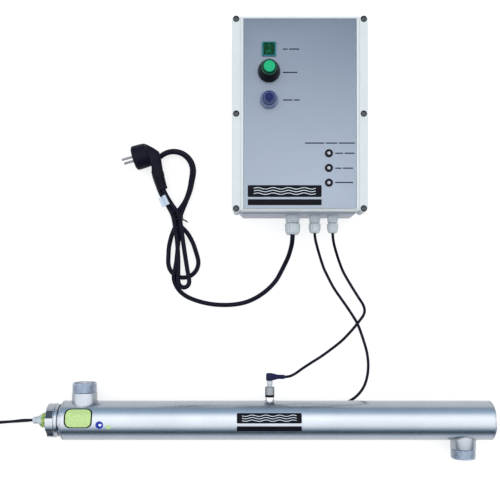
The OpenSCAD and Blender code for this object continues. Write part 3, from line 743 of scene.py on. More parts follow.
def end_welds():
    """Fine orbital welds round the tube's two ends, and the beads of the nipples and the boss."""
    bm = bmesh.new()
    for x in TUBE_ENDS:
        rings = [(TUBE_R - 0.05 + 0.35 * math.sin(math.pi * k / 6), x - 1.2 + 0.4 * k) for k in range(7)]
        polar(bm, rings, on_axis(0), shape=lambda r, a, z: r + 0.06 * math.sin(a * 140), angles=420, caps=False)
    for branch_weld in BRANCHES:
        weld_bead(bm, *branch_weld)
    keep(bm, "welds", "root", "stainless", materials=["weld"], sharp=80)


def end_cap():
    bm = bmesh.new()
    turned(bm, [(0, 0), (TUBE_R, 0), (TUBE_R, 3), (0, 3)], on_axis(TUBE_ENDS[1]), radius=1.2, angles=200,
           steps=4)
    keep(bm, "end_plate", "root", "stainless", "reactor_end_cap", materials=["stainless_turned"])


def nipple(name, x, toward, node):
    """A pipe nipple with a real pipe thread, whose foot follows the tube."""
    bm = bmesh.new()
    place = branch(x, toward)
    count, pitch, root, crest = 120, 2.309, 22.6, 23.9
    outer, inner, tube_inner = NIPPLE_R, 20.9, 36.1
    start, end = 55.0, 74.0

    def foot(a, r):
        return math.sqrt(tube_inner ** 2 - (r * math.cos(a)) ** 2)

    def ring(r_of, z_of):
        made = []
        for i in range(count):
            a = TAU * i / count
            r = r_of(a)
            made.append(place @ Vector((r * math.cos(a), r * math.sin(a), z_of(a, r))))
        return made

    def thread(z):
        def r_of(a):
            phase = (z / pitch - a / TAU) % 1.0
            depth = abs(phase - 0.5) * 2
            r = root + (crest - root) * min(1.0, max(0.0, 1.25 * depth - 0.1))
            taper = max(0.0, 1 - (end - z) / 1.6)
            return r - taper * 1.1
        return r_of

    def plain(r, z):
        return ring(lambda a: r, lambda a, r: z)

    steps = 90
    loops = [ring(lambda a: outer, foot), plain(outer, start - 1.2), plain(outer - 0.35, start - 0.2),
             plain(root + 0.1, start + 0.4)]
    for k in range(steps + 1):
        z = start + 0.8 + (end - start - 0.8) * k / steps
        loops.append(ring(thread(z), lambda a, r, z=z: z))
    loops += [plain(inner + 0.9, end), plain(inner + 0.15, end - 0.5), plain(inner, end - 1.2),
              ring(lambda a: inner, foot)]
    faces = skin(bm, loops, caps=False, closed=True)
    for n, face in enumerate(faces):
        face.material_index = 1 if 2 <= n // count < steps + 6 else 0
    keep(bm, name, "root", "stainless_turned", node, materials=["pipe_steel", "thread_steel"], sharp=50)


def lamp_head():
    """The lamp end: ferrule and neck, head, union nut, earth wire and gland."""
    bm = bmesh.new()
    turned(bm, [(22, 0), (28, 0), (28, 18), (TUBE_R, 18), (TUBE_R, 21), (22, 21)], on_axis(-406), radius=0.8,
           angles=160)
    keep(bm, "head_neck", "root", "stainless_turned", "head_ferrule")

    bm = bmesh.new()
    turned(bm, [(0, 0), (11, 0), (11, 25), (26.5, 25), (26.5, 28), (0, 28)], on_axis(-434), radius=0.9,
           angles=96, steps=4)
    keep(bm, "head_hub", "root", "gland_plastic", "head_flange")

    # Union nut: five slots cut its outer face, with a thin land between them and a plain collar behind; the
    # faces in the slots take a near-black steel, painted shade
    bm = bmesh.new()
    floor, half, slot_end = 29.7, 8.0, 14.4
    slots = [math.radians(42 + 72 * i) for i in range(5)]
    edge = math.asin(half / 33.2)
    angles = {round(TAU * i / 240, 5) for i in range(240)}
    for s in slots:
        angles = {a for a in angles if abs(abs((a - s + math.pi) % TAU - math.pi) - edge) > 0.014}
        angles |= {round((s + d) % TAU, 5) for d in (-edge - 0.012, -edge, -edge + 0.006,
                                                     edge - 0.006, edge, edge + 0.012)}

    def slotted(r, a, z):
        off = min(abs((a - s + math.pi) % TAU - math.pi) for s in slots)
        if z > slot_end or off > edge - 0.003:
            return r - (0.35 if abs(off - edge) < 0.004 and z <= slot_end and r > 31 else 0)
        return min(r, floor / math.cos(off))

    outline = fillet([(24, 0), (33.2, 0), (33.2, 15.2), (31.5, 16.4), (31.5, 21.5), (28.2, 21.5), (28.2, 4),
                      (24, 4)], 1.1, 4, ring=True)
    levels = [tuple(p) for p in outline]
    top = max(i for i, (r, z) in enumerate(levels) if r > 33.1 and z < 14)
    levels[top + 1:top + 1] = [(33.2, 14.2), (33.2, slot_end), (33.2, slot_end + 0.15)]
    place = on_axis(-416)
    back = place.inverted()
    # Faces inside the slots get the near-black steel: painted shade in the slots
    for face in polar(bm, levels, place, slotted, sorted(angles), caps=False, closed=True):
        p = back @ face.calc_center_median()
        off = min(abs((math.atan2(p.y, p.x) - s + math.pi) % TAU - math.pi) for s in slots)
        if 0.2 < p.z < slot_end + 0.1 and off < edge and 28.6 < p.xy.length < 32.9:
            face.material_index = 1
    keep(bm, "slotted_nut", "union_nut", "stainless_turned", "union_nut",
         materials=["stainless_turned", "slot_painted_shade"], sharp=34)

    bm = bmesh.new()
    turned(bm, [(20, 0), (26.5, 0), (26.5, 3), (20, 3)], on_axis(-412), radius=0.4)
    keep(bm, "thrust_ring", "nut_thrust_ring", "rubber_black", "nut_thrust_ring")

    # Earth wire: a helix round the hub
    bm = bmesh.new()
    line = []
    for k in range(4 * 48 + 1):
        a = TAU * k / 48 + 0.6
        line.append(on_axis(-429.3) @ Vector((12.7 * math.cos(a), 12.7 * math.sin(a), k / 48 * 2.75 - 0.6)))
    tube(bm, line, 1.45, sides=14)
    keep(bm, "earth_wire", "root", "earth_wire", "earth_lead")

    bm = bmesh.new()
    polar(bm, fillet([(2.9, 0.4), (5.2, 0), (6.7, 1.4), (7, 3), (7, 7), (2.9, 7)], 0.5, 3), on_axis(-448),
          shape=lambda r, a, z: r - (0.3 if r > 6 and math.cos(12 * a) < -0.4 else 0))
    polar(bm, [(5.6, 6.8), (5.6, 8.3)], on_axis(-448))
    polar(bm, [(6.1, 8), (7, 8.5), (7, 13.5), (6.1, 14)], on_axis(-448), shape=sided(6, 6.3))
    keep(bm, "lamp_cable_gland", "root", "gland_plastic", "lamp_gland")


def sensor():
    """UV sensor on its boss: seal, knurled ring, neck, and an angled cable plug."""
    place = branch(SENSOR_X, 1)
    bm = bmesh.new()
    turned(bm, [(5.1, 34), (8.4, 34), (8.4, 45.5), (5.1, 45.5)], place, radius=0.5)
    keep(bm, "sensor_seat", "root", "chrome", "sensor_boss")

    bm = bmesh.new()
    turned(bm, [(5.1, 45.5), (9, 45.5), (9, 47.6), (8.5, 48), (9, 48.4), (9, 50), (5.1, 50)], place,
           radius=0.4)
    keep(bm, "sensor_seal_ring", "root", "rubber_black", "sensor_seal")

    bm = bmesh.new()

    def knurl(r, a, z):
        if r < 8.8 or not 51.8 < z < 64.4:
            return r
        return r - 0.3 * (1 - max(abs(math.sin(18 * a + z * 1.5)), abs(math.sin(18 * a - z * 1.5))))

    levels = fillet([(5.2, 50.3), (9.3, 50.3), (9.3, 51.8)], 0.4)
    levels += [(9.3, 51.8 + 0.35 * k) for k in range(1, 37)]
    levels += fillet([(9.3, 64.8), (9.1, 65.1), (8.5, 65.7), (5.2, 65.7)], 0.3)
    polar(bm, levels, place, shape=knurl, angles=216, caps=False, closed=True)
    keep(bm, "knurled_ring", "sensor_ring", "plated_steel", "sensor_ring", sharp=50)

    bm = bmesh.new()
    turned(bm, [(0, 66.3), (4.4, 66.3), (4.4, 68.8), (5.8, 71.3), (5.8, 75.3), (4.8, 78), (0, 78)], place,
           radius=0.7)
    polar(bm, [(5.2, 69.6), (6.1, 70), (6.1, 71), (5.2, 71.4)], place, shape=sided(6, 5.6))
    keep(bm, "sensor_collar", "root", "gland_plastic", "sensor_neck")

    bm = bmesh.new()
    low_y = AXIS_Y + 78
    box(bm, (8.4, low_y, 30.9), (22.8, low_y + 14, 45.2), radius=2.2, steps=4)
    box(bm, (10.2, low_y + 13.4, 33), (21, low_y + 14.0, 43), radius=0.25)
    boot = frame_at((22.8, low_y + 7, AXIS_Z), (0, 0, 1), (1, 0, 0))

    def ribs(r, a, z):
        return r - (0.45 if 9 < z < 19.5 and math.sin(z * 2.4) < -0.2 else 0)

    profile = fillet([(6.6, -1), (6.5, 1), (4.6, 8), (4.4, 19.5), (3.5, 22.2)], 1.2, 5)
    levels = profile[:-6] + [(4.5, 8.5 + 0.3 * k) for k in range(37)] + profile[-6:]
    polar(bm, sorted(((r, z) for r, z in levels), key=lambda p: p[1]), boot, shape=ribs, angles=48)
    keep(bm, "sensor_cable_plug", "root", "black_plastic", "sensor_plug", materials=["blue_plastic"])


def patch(name, outline, x, turn, slot, materials, border=0.0, lift=0.15):
    """A thin label on the tube. outline is in millimetres along the tube and round it, about its middle,
    and turn is the middle's angle from straight up toward -Y."""
    bm = bmesh.new()

    def wrapped(p, r):
        a = turn + p[1] / TUBE_R
        return on_axis(x) @ Vector((r * math.cos(a), r * math.sin(a), p[0]))

    outline = resampled([Vector((*p, 0)) for p in outline + outline[:1]], 1.2)[:-1]
    size = max(p.length for p in outline)
    shares = ([1 - border / size] if border else []) + [0.85, 0.7, 0.5, 0.3, 0.1]
    loops = [[wrapped(p, TUBE_R - 0.02) for p in outline], [wrapped(p * 0.997, TUBE_R + lift) for p in outline]]
    loops += [[wrapped(p * share, TUBE_R + lift) for p in outline] for share in shares]
    faces = skin(bm, loops, caps=False)
    bm.verts.ensure_lookup_table()
    bm.faces.new([v for v in bm.verts[-len(outline):]])
    count = len(outline)
    for n, face in enumerate(faces):
        ring = n // count
        face.material_index = 1 if border and ring <= 1 else 0
    keep(bm, name, "root", slot, materials=materials)


def reactor_labels():
    """Blank labels: a pale green one with a dark border, a blue dot, a small green dot and two dark plates."""
    patch("green_label", rounded(54, 39, 14, 10), -351, math.radians(-16), "label_green",
          ["label_green", "label_edge"], border=3.0)
    patch("blue_dot", oval(15, 15), -310, math.radians(4), "label_blue", ["label_blue"])
    patch("blue_dot_centre", oval(6, 4.5, 32), -308.6, math.radians(4), "label_blue", ["print_pale"], lift=0.25)
    patch("green_dot", oval(9, 8, 32), -292.5, math.radians(10), "label_green", ["label_green"])
    patch("dark_label", rounded(124, 20, 2.5), 13.8, math.radians(-15.8), "nameplate", ["nameplate"])
    patch("dark_strip", rounded(124, 10, 1.2), 13.8, math.radians(15), "nameplate", ["nameplate"])
    waves = bmesh.new()
    for row in (-1, 0, 1):
        line = []
        for k in range(121):
            x = -52 + 104 * k / 120
            s = math.radians(-15.8) + (row * 4.6 + 1.3 * math.sin(TAU * (x + 52) / 26)) / TUBE_R
            line.append(on_axis(13.8 + x) @ Vector((38.2 * math.cos(s), 38.2 * math.sin(s), 0)))
        tube(waves, line, 0.55)
    keep(waves, "label_waves", "root", "nameplate", materials=["print_pale"])


# ---- Cabinet ----

def cabinet_outline(w, l, corner):
    """The base's plan, with its four corners cut at 45 degrees and every edge rounded."""
    x, y = w / 2, l / 2
    points = [(corner - x, -y), (x - corner, -y), (x, corner - y), (x, y - corner), (x - corner, y),
              (corner - x, y), (-x, y - corner), (-x, corner - y)]
    return [p + Vector((CAB_X, CAB_Y)) for p in fillet(points, 2.6, 4, ring=True)]


def screw_places():
    return [(CAB_X + i * 119.2, CAB_Y + j * 177) for i in (-1, 1) for j in (-1, 0, 1)]


GLANDS = [(60, 15.6, 16, MAINS_D / 2, 12.4), (103, 12, 19, LEAD_D / 2, 8), (138, 11.2, 19, LEAD_D / 2, 8)]
WALL_Y, GLAND_Z = 53.2, 45.0


def gland_place(x):
    return frame_at((x, WALL_Y, GLAND_Z), (0, 0, 1), (0, -1, 0))


def cabinet_base():
    """The open case: wall holes, gland holes, screw posts and ribs."""
    bm = bmesh.new()
    outer = cabinet_outline(254, 367.6, 20)
    inner = cabinet_outline(247, 360.6, 20)
    levels = [(outer, 0.8, 0), (outer, 0.25, 0.3), (outer, 0, 1.0), (outer, 0, 40), (outer, 0, 75.4),
              (outer, 0.2, 75.8), (outer, 0.6, 76),
              (inner, 0, 76), (inner, 0, 5), (inner, 1.5, 3.5)]
    stack(bm, levels)
    tools = []
    for i, j in ((-1, -1), (-1, 1), (1, -1), (1, 1)):
        place = at(CAB_X + i * 95, CAB_Y + j * 150)
        tools += [rod(2.75, -1, 5, place), rod(5.2, -1, 1.2, place)]
    tools += [rod(wall_r, -20, 20, gland_place(x)) for x, _, _, _, wall_r in GLANDS]
    bm = cut(bm, *tools)
    for x, y in screw_places():
        part = bmesh.new()
        polar(part, [(4.5, 46), (6.5, 51), (6.5, 76), (2.5, 76), (2.5, 62)], at(x, y), angles=40)
        add_mesh(bm, part)
    # Stiffening ribs on the long walls inside
    for side in (-1, 1):
        for k in range(-3, 4):
            low_x, high_x = sorted((CAB_X + side * 123.6, CAB_X + side * 119.6))
            y = CAB_Y + 45 * k
            box(bm, (low_x, y - 1, 3), (high_x, y + 1, 66), radius=0.4)
    # The walls take a darker copy of the lid's plastic: painted shade
    keep(bm, "case_base", "root", "cabinet_plastic", "cabinet_base", materials=["case_plastic_painted_shade"], sharp=28)


def lid_outline():
    """The lid's plan: a long middle, and a lobe round each corner screw."""
    quarter = [(109.4, 181.8), (110.4, 181.6), (111.2, 181.0)]
    for k in range(17):
        a = math.radians(150 - 150 * k / 16)
        quarter.append((119.2 + 7.8 * math.cos(a), 176 + 7.8 * math.sin(a)))
    right = quarter + [(x, -y) for x, y in reversed(quarter)]
    left = [(-x, -y) for x, y in right]
    return [Vector((CAB_X + x, CAB_Y + y)) for x, y in right + left][::-1]


def control_wells():
    """What the lights, buttons and rocker cut out of the lid and its plate."""
    x, y = ROCKER
    wells = [rod(4.6, 90, 105, at(LIGHT_X, light_y)) for light_y in LIGHTS_Y]
    wells += [rod(11.4, 90, 105, at(*POWER)), rod(8.2, 90, 105, at(*RESET))]
    return wells + [block((x - 11.2, y - 12, 90), (x + 11.2, y + 12, 105))]


def cabinet_lid():
    """The lid: a recess for the plate, a groove beside each edge strip, and a slope over the glands."""
    bm = bmesh.new()
    outline = lid_outline()
    levels = [(0.4, 76.6), (0.1, 77.0), (0, 77.6), (0, 98.4), (0.15, 99.2), (0.4, 99.7), (0.8, 100)]
    stack(bm, [(outline, by, z) for by, z in levels])
    tools = [block((CAB_X - 106, CAB_Y - 177.8, 98), (CAB_X + 106, CAB_Y + 177.8, 110)),
             block((CAB_X - 110.7, CAB_Y - 178.3, 70), (CAB_X + 110.7, CAB_Y + 178.3, 95))]
    for side in (-1, 1):
        x = CAB_X + side * 111.2
        tools.append(block((x - 0.5, CAB_Y - 190, 99.3), (x + 0.5, CAB_Y + 190, 110)))
    # The edge over the glands slopes down
    slope = block((CAB_X - 109, -14, 0), (CAB_X + 109, 0, 14))
    tilt = at(0, 59.0, 100) @ Matrix.Rotation(math.radians(34), 4, "X")
    bmesh.ops.transform(slope, matrix=tilt, verts=slope.verts)
    tools.append(slope)
    bm = cut(bm, *tools)
    wells = []
    for x, y in screw_places():
        wells += [rod(6.0, 95.4, 105, at(x, y)), rod(2.6, 70, 100, at(x, y))]
    wells += control_wells()
    keep(cut(bm, *wells), "case_lid", "lid", "cabinet_plastic", "cabinet_lid", sharp=28)


def front_plate():
    bm = bmesh.new()
    box(bm, (CAB_X - 105.2, CAB_Y - 177.0, 98), (CAB_X + 105.2, CAB_Y + 177.0, 99.5), radius=0.35, steps=3)
    keep(cut(bm, *control_wells()), "control_plate", "lid", "plate_aluminium", "front_plate", sharp=28)


def plate_marks():
    """Two blank plates, one with wave lines, and rows of plain dashes beside the controls."""
    bm = bmesh.new()
    slab(bm, (41.8, 92.3), (138, 22), 2.0, PLATE_Z, PLATE_Z + 0.7, edge=0.3)
    slab(bm, (41.8, 71.5), (138, 11), 1.2, PLATE_Z, PLATE_Z + 0.7, edge=0.3)
    keep(bm, "blank_plates", "lid", "nameplate", "front_nameplate")
    bm = bmesh.new()
    for row in (-1, 0, 1):
        shares = [k / 120 for k in range(121)]
        line = [Vector((-16 + 115.6 * t, 92.3 + row * 5.0 + 1.4 * math.sin(TAU * 4 * t), PLATE_Z + 0.62))
                for t in shares]
        tube(bm, line, 0.6)
    keep(bm, "plate_waves", "lid", "nameplate", materials=["print_pale"])
    bm = bmesh.new()
    rows = [(38.5, 357.6, (9, 19)), (38.5, 314, (27,)), (38.5, 262.5, (18, 11)), (79.7, 182, (36, 22, 30)),
            (136, 163, (15, 19)), (136, 135.1, (12, 19)), (136, 108.4, (34,))]
    for x, y, dashes in rows:
        for w in dashes:
            slab(bm, (x + w / 2, y), (w, 2.3), 0.8, PLATE_Z - 0.02, PLATE_Z + 0.05, edge=0.02)
            x += w + 2.6
    keep(bm, "dashes", "lid", "nameplate", materials=["legend"])


def lid_screws():
    """Screws with a wide cross recess, each ringed by a black collar that fills the gap to its well: painted
    shade in the well.
    """
    bm = bmesh.new()
    for n, (x, y) in enumerate(screw_places()):
        head = bmesh.new()
        turned(head, [(0, 96.4), (4.5, 96.4), (4.5, 99.3), (0, 99.6)], at(x, y), radius=0.8, angles=48)
        turn = Matrix.Rotation(0.4 + 1.1 * n, 4, "Z")
        tools = []
        for k in (0, 1):
            bar = bmesh.new()
            box(bar, (-3.3, -0.75, 98.2), (3.3, 0.75, 101), radius=0.3)
            quarter = Matrix.Rotation(k * math.pi / 2, 4, "Z")
            bmesh.ops.transform(bar, matrix=at(x, y) @ turn @ quarter, verts=bar.verts)
            tools.append(bar)
        add_mesh(bm, cut(head, *tools))
        # The black collar between head and well is painted shade
        ring = bmesh.new()
        turned(ring, [(4.4, 95.6), (5.6, 95.6), (5.6, 98.9), (5.0, 99.2), (4.4, 98.4)], at(x, y), radius=0.25,
               angles=48, material=1)
        add_mesh(bm, ring)
        add_mesh(bm, rod(2.1, 68, 96.5, at(x, y), 24))
    keep(bm, "case_screws", "lid", "plated_steel", "lid_screws", materials=["screw_dark", "black_plastic"])


def rocker_switch():
    x, y = ROCKER
    place = at(x, y, PLATE_Z)
    bm = bmesh.new()
    rim, hole = rounded(27, 27, 2.2), rounded(20.6, 22.6, 0.8)
    levels = [(rim, 0.3, 0), (rim, 0, 0.4), (rim, 0, 2.2), (rim, 0.4, 2.8), (rim, 1.1, 3.0), (hole, -0.3, 3.0),
              (hole, 0, 2.7), (hole, 0, -10)]
    stack(bm, levels, place)
    for wall_x in (x - 11, x + 10.4):
        box(bm, (wall_x, y - 11.9, 79.5), (wall_x + 0.6, y + 11.9, 99.4), radius=0.1)
    keep(bm, "rocker_frame", "lid", "teal_plastic", "rocker_housing")

    bm = bmesh.new()
    top = fillet([(-10, 4.0), (-5, 2.9), (0, 2.4), (5, 2.9), (10, 4.0), (9.4, -3), (4, -7), (-4, -7),
                  (-9.4, -3)], 0.9, 4, ring=True)
    tilt = at(x, y, PLATE_Z + 1) @ Matrix.Rotation(math.radians(7), 4, "X")
    ends = ((-10, 0.7), (-9.7, 0.25), (-9.2, 0), (9.2, 0), (9.7, 0.25), (10, 0.7))
    skin(bm, [[tilt @ Vector((across, p.x, p.y)) for p in inset(top[::-1], by)] for across, by in ends])
    turns = [TAU * k / 32 for k in range(33)]
    ring = [Vector((3.0 * math.cos(a), -5.6 + 2.4 * math.sin(a), 3.05 + 0.1 * math.cos(a))) for a in turns]
    tube(bm, [tilt @ p for p in ring], 0.35, material=1)
    tube(bm, [tilt @ Vector((0, 3.4 + 4.4 * k / 8, 3.0 + 0.1 * k)) for k in range(9)], 0.35, material=1)
    keep(bm, "rocker", "lamp_rocker", "dark_green_lens", "lamp_rocker",
         materials=["dark_green_lens", "green_lens"])


def push_buttons():
    """The large push button in its black bezel, and the small one under its clear cap."""
    place = at(*POWER, PLATE_Z)
    bm = bmesh.new()
    turned(bm, [(9, -20), (11.2, -20), (11.2, 0), (21, 0), (21, 3), (19.6, 9), (16.2, 21), (15.6, 22),
                (14.6, 22), (14.6, 10), (9, 10)], place, radius=1.2, angles=128, steps=5)
    keep(bm, "power_collar", "lid", "black_plastic", "power_bezel")
    bm = bmesh.new()
    # The button's top is a bright green and its sides and dome edge a far darker green: painted light and
    # painted shade on one green lens
    polar(bm, [(8.6, -24), (8.7, 14), (14.0, 14), (14.2, 14.3), (14.2, 24.2), (13.8, 25.2), (12.9, 27.4),
               (12.3, 28.3), (11.4, 28.9), (10.6, 28.7)], place, angles=128, material=1)
    # A paler green torus round the button's edge: a painted highlight
    tube(bm, circle(13.85, 24.9, place), 0.42, material=2)
    polar(bm, fillet([(10.5, 27.5), (10.4, 29.2), (9.8, 29.9), (6, 30.3), (0.3, 30.5)], 0.5), place, angles=128)
    keep(bm, "power_push", "power_button", "green_lens", "power_button",
         materials=["green_lens", "green_dome_painted_shade", "green_edge_painted_highlight"])

    place = at(*RESET, PLATE_Z)
    bm = bmesh.new()
    turned(bm, [(6.4, -18), (8, -18), (8, 0), (17.3, 0), (17.3, 2), (16.6, 5), (14.8, 11), (14.2, 12),
                (13.6, 12), (13.6, 5.5), (6.4, 5.5)], place, radius=0.9, angles=128, steps=5)
    keep(bm, "reset_collar", "lid", "boot_clear", "reset_bezel")
    bm = bmesh.new()
    turned(bm, [(0, -20), (6.1, -20), (6.1, 9), (13.2, 9), (13.2, 14.5), (11.8, 16.8), (10.6, 16.9),
                (10.0, 16.4), (9.0, 16.4), (8.4, 17.2), (4.6, 17.9), (4.2, 17.4), (3.4, 17.4), (3.0, 18.1),
                (0, 18.5)], place, radius=0.5, angles=128)
    # Two paler rings on the navy cap: painted highlights
    for r, z in ((12.2, 16.1), (9.5, 16.2)):
        tube(bm, circle(r, z, place), 0.45, material=1)
    keep(bm, "reset_push", "reset_button", "blue_plastic", "reset_button",
         materials=["navy_plastic", "boot_clear"])


def lights():
    """Three lights: a black ring and a small domed lens each."""
    bezels, lenses = bmesh.new(), bmesh.new()
    for y in LIGHTS_Y:
        place = at(LIGHT_X, y, PLATE_Z)
        turned(bezels, [(3.6, -12), (4.4, -12), (4.4, 0), (7.5, 0), (7.5, 1.4), (5.6, 3), (4.2, 3), (3.6, 1.6)],
               place, radius=0.5, angles=64)
        dome = [(3.5 * math.cos(t), 0.6 + 2.4 * math.sin(t)) for t in [math.pi / 2 * k / 8 for k in range(8)]]
        polar(lenses, [(3.5, -10)] + dome + [(0.2, 3.0)], place, angles=48)
    keep(bezels, "light_rings", "lid", "black_plastic", "led_bezels")
    keep(lenses, "light_lenses", "lid", "lens_white", "led_lenses")


def cable_glands():
    """Three nylon glands: hexagon, thread, and a dome nut with a ring of grip facets."""
    bodies, nuts = bmesh.new(), bmesh.new()
    for x, across, end_y, cord_r, wall_r in GLANDS:
        place = gland_place(x)
        flat = across * math.cos(math.pi / 6)
        end = WALL_Y - end_y
        polar(bodies, [(wall_r - 0.1, -9.5), (wall_r - 0.1, 0.2)], place)
        polar(bodies, [(flat * 0.98, 0), (flat * 1.04, 0.2), (across * 0.995, 1.4), (across * 0.995, 10.6),
                       (flat * 0.9, 13.9), (flat * 0.84, 14)], place, shape=sided(6, flat, math.pi / 6))
        core = across * 0.72
        polar(bodies, [(core - (0.5 if k % 2 else 0), 13.9 + 0.45 * k) for k in range(15)], place)
        r = across * 0.98
        start = 15.2

        def grip(radius, a, z):
            deep = max(0.0, min(1.0, (end - 3.0 - z) / 5.0)) * 0.09 * r
            wave = abs(math.sin(6 * a))
            return radius - deep * (1 - wave ** 0.6)

        profile = fillet([(core + 0.1, start), (r * 0.9, start), (r, start + 1.8), (r * 0.985, end - 9),
                          (r * 0.92, end - 5), (r * 0.8, end - 1.6), (r * 0.68, end), (cord_r + 0.5, end),
                          (cord_r + 0.5, end - 2.5)], 1.5, 5)
        polar(nuts, profile, place, shape=grip, angles=144, caps=False)
    keep(bodies, "gland_hexes", "root", "gland_plastic", "gland_bodies", sharp=26)
    keep(nuts, "gland_domes", "root", "gland_plastic", "gland_nuts", sharp=40)


# ---- What is on the mains cord ----

def squared(value, power):
    """A sine or cosine bent toward a rounded square."""
    return math.copysign(abs(value) ** power, value)


def plug():
    """The angled plug: its round head, its body and ribbed boot, and its two pins."""
    turn = Matrix.Rotation(math.radians(16), 4, "Z")
    place = at(-217, 179, 24.5) @ turn
    face = place @ frame_at((-38, 0, 0), (0, 0, 1), (1, 0, 0))
    bm = bmesh.new()
    turned(bm, [(0, 0), (19.4, 0), (20.4, 1.0), (22, 1.2), (24, 4), (24, 9), (23.7, 20), (22.8, 29), (19, 32),
                (0, 32)], face, radius=1.6, angles=96, steps=5)
    sections = [((-233, 174.5), (0.96, 0.28), 41, 32), ((-223, 175.5), (0.97, 0.23), 44, 30),
                ((-215.5, 169.8), (0.997, -0.076), 40, 28), ((-210.2, 164.2), (0.929, -0.369), 39, 26),
                ((-208.6, 156.5), (0.843, -0.538), 34.4, 23), ((-207.8, 149), (0.657, -0.755), 27.4, 20.5),
                ((-206.5, 142.5), (0.342, -0.94), 23.4, 18.5), ((-205.7, 138), (0.21, -0.977), 22.6, 17.5)]
    loops = []
    for (x, y), along, wide, high in sections:
        m = frame_at((x, y, 24.5), (0, 0, 1), (*along, 0))
        ring = []
        for i in range(48):
            a = TAU * i / 48
            up, across = squared(math.cos(a), 0.7), squared(math.sin(a), 0.7)
            ring.append(m @ Vector((high / 2 * up, wide / 2 * across, 0)))
        loops.append(ring)
    skin(bm, loops)
    start, end = Vector((-206, 141, 24.4)), Vector((-196.5, 108.5, 22.8))
    along = (end - start).normalized()
    boot = frame_at(start, (0, 0, 1), along)
    reach = (end - start).length
    levels = []
    for k in range(73):
        z = reach * k / 72
        share = k / 72
        r = 10.9 - 1.5 * share
        ribbed = 1.0 if 0.25 < share < 0.93 and (share * 8) % 1 > 0.5 else 0.0
        levels.append((r - ribbed, z))
    levels += [(8.4, reach + 0.8), (4.7, reach + 1.4)]
    polar(bm, levels, boot, angles=48, shape=lambda r, a, z: r * (1 + 0.1 * math.cos(2 * a + math.pi)))
    keep(bm, "plug_body", "root", "black_plastic", "mains_plug", materials=["plug_plastic"], sharp=40)

    bm = bmesh.new()
    for i in (-1, 1):
        pin = place @ frame_at((-60, 1.9 * i, 9.3 * i), (0, 0, 1), (1, 0, 0))
        turned(bm, [(0, 0), (2.4, 0), (2.4, 24), (0, 24)], pin, radius=1.5, angles=40, steps=6)
    keep(bm, "plug_contacts", "root", "chrome", "plug_pins", materials=["pin_steel"])


def tag():
    """A paper flag folded round the cord, a little curled."""
    place = at(-189, 86, 23.6) @ Matrix.Rotation(math.radians(24), 4, "Z")
    place = place @ Matrix.Rotation(math.radians(-4), 4, "X")
    bm = bmesh.new()
    rows, count = 14, 26
    half, thick = 10.0, 0.35
    loops = []
    for j in range(rows + 1):
        y = -half + 2 * half * j / rows
        upper, lower = [], []
        for i in range(count + 1):
            x = -12.5 + 21 * i / count
            hump = math.sqrt(max(0.0, 5.0 ** 2 - min(5.0, abs(x)) ** 2))
            z = max(hump, 0.9 + 0.25 * math.sin(x * 0.4 + y * 0.15)) + 0.25 * math.sin(y * 0.25)
            upper.append(place @ Vector((x, y, z + thick)))
            lower.append(place @ Vector((x, y, z)))
        loops.append(upper + lower[::-1])
    skin(bm, loops)
    keep(bm, "paper_tag", "root", "tag_white", "cord_tag", sharp=50)


def tie():
    """Twisted wire tie: two turns round the bundle and a twist whose ends stand out to the right."""
    bm = bmesh.new()
    along, across = Vector((-0.09, 0.996, 0)), Vector((0.996, 0.09, 0))
    for n, shift in enumerate((-1.8, 1.6)):
        line = []
        for k in range(65):
            a = TAU * k / 64
            high = 14.3 + 13.6 * squared(math.sin(a), 0.6)
            side = 10.4 * squared(math.cos(a), 0.55) * (1.02 if high > 22 else 1)
            forward = shift + (1.6 if n else -1.2) * math.sin(a)
            line.append(TIE + across * side + along * forward + Vector((0, 0, max(0.9, high))))
        tube(bm, line, 0.95, flatten=1.6)
    for sign in (-1, 1):
        line = []
        for k in range(40):
            t = k / 39
            p = TIE + Vector((9.5 + 11 * t, -3.5 - 4.5 * t * t, 24 - 9 * t))
            a = 9 * t + (0 if sign > 0 else math.pi)
            line.append(p + Vector((0.2 * math.cos(a), 1.0 * math.cos(a) * (1 - 0.3 * t), 1.0 * math.sin(a))))
        tube(bm, line, 0.8)
    keep(bm, "wire_tie", "root", "black_plastic", "cord_tie", sharp=60)


# ---- Inside pieces that keep their CAD shape ----

INSIDE = {
    "nut_thrust_ring": "rubber_black", "sleeve_seal": "rubber_black", "quartz_sleeve": "quartz",
    "sleeve_support": "stainless_turned", "uv_lamp_glass": "quartz", "uv_lamp_caps": "ceramic",
    "uv_lamp_pins": "brass", "lamp_socket": "ceramic", "sensor_body": "stainless_turned",
    "sensor_window": "quartz", "lid_seal": "seal_grey", "power_switch_block": "component_black",
    "reset_switch_block": "component_black", "gland_seals": "rubber_black", "gland_locknuts": "gland_plastic",
    "mounting_plate": "plated_steel", "ballast": "component_black", "monitor_board": "circuit_board",
    "board_parts": "component_black", "terminal_block": "gland_plastic",
}


def dress_inside():
    """Gives each CAD node that stays in sight its finish."""
    for name, material in INSIDE.items():
        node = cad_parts[name]
        node.data.materials.clear()
        node.data.materials.append(MATERIAL[material])


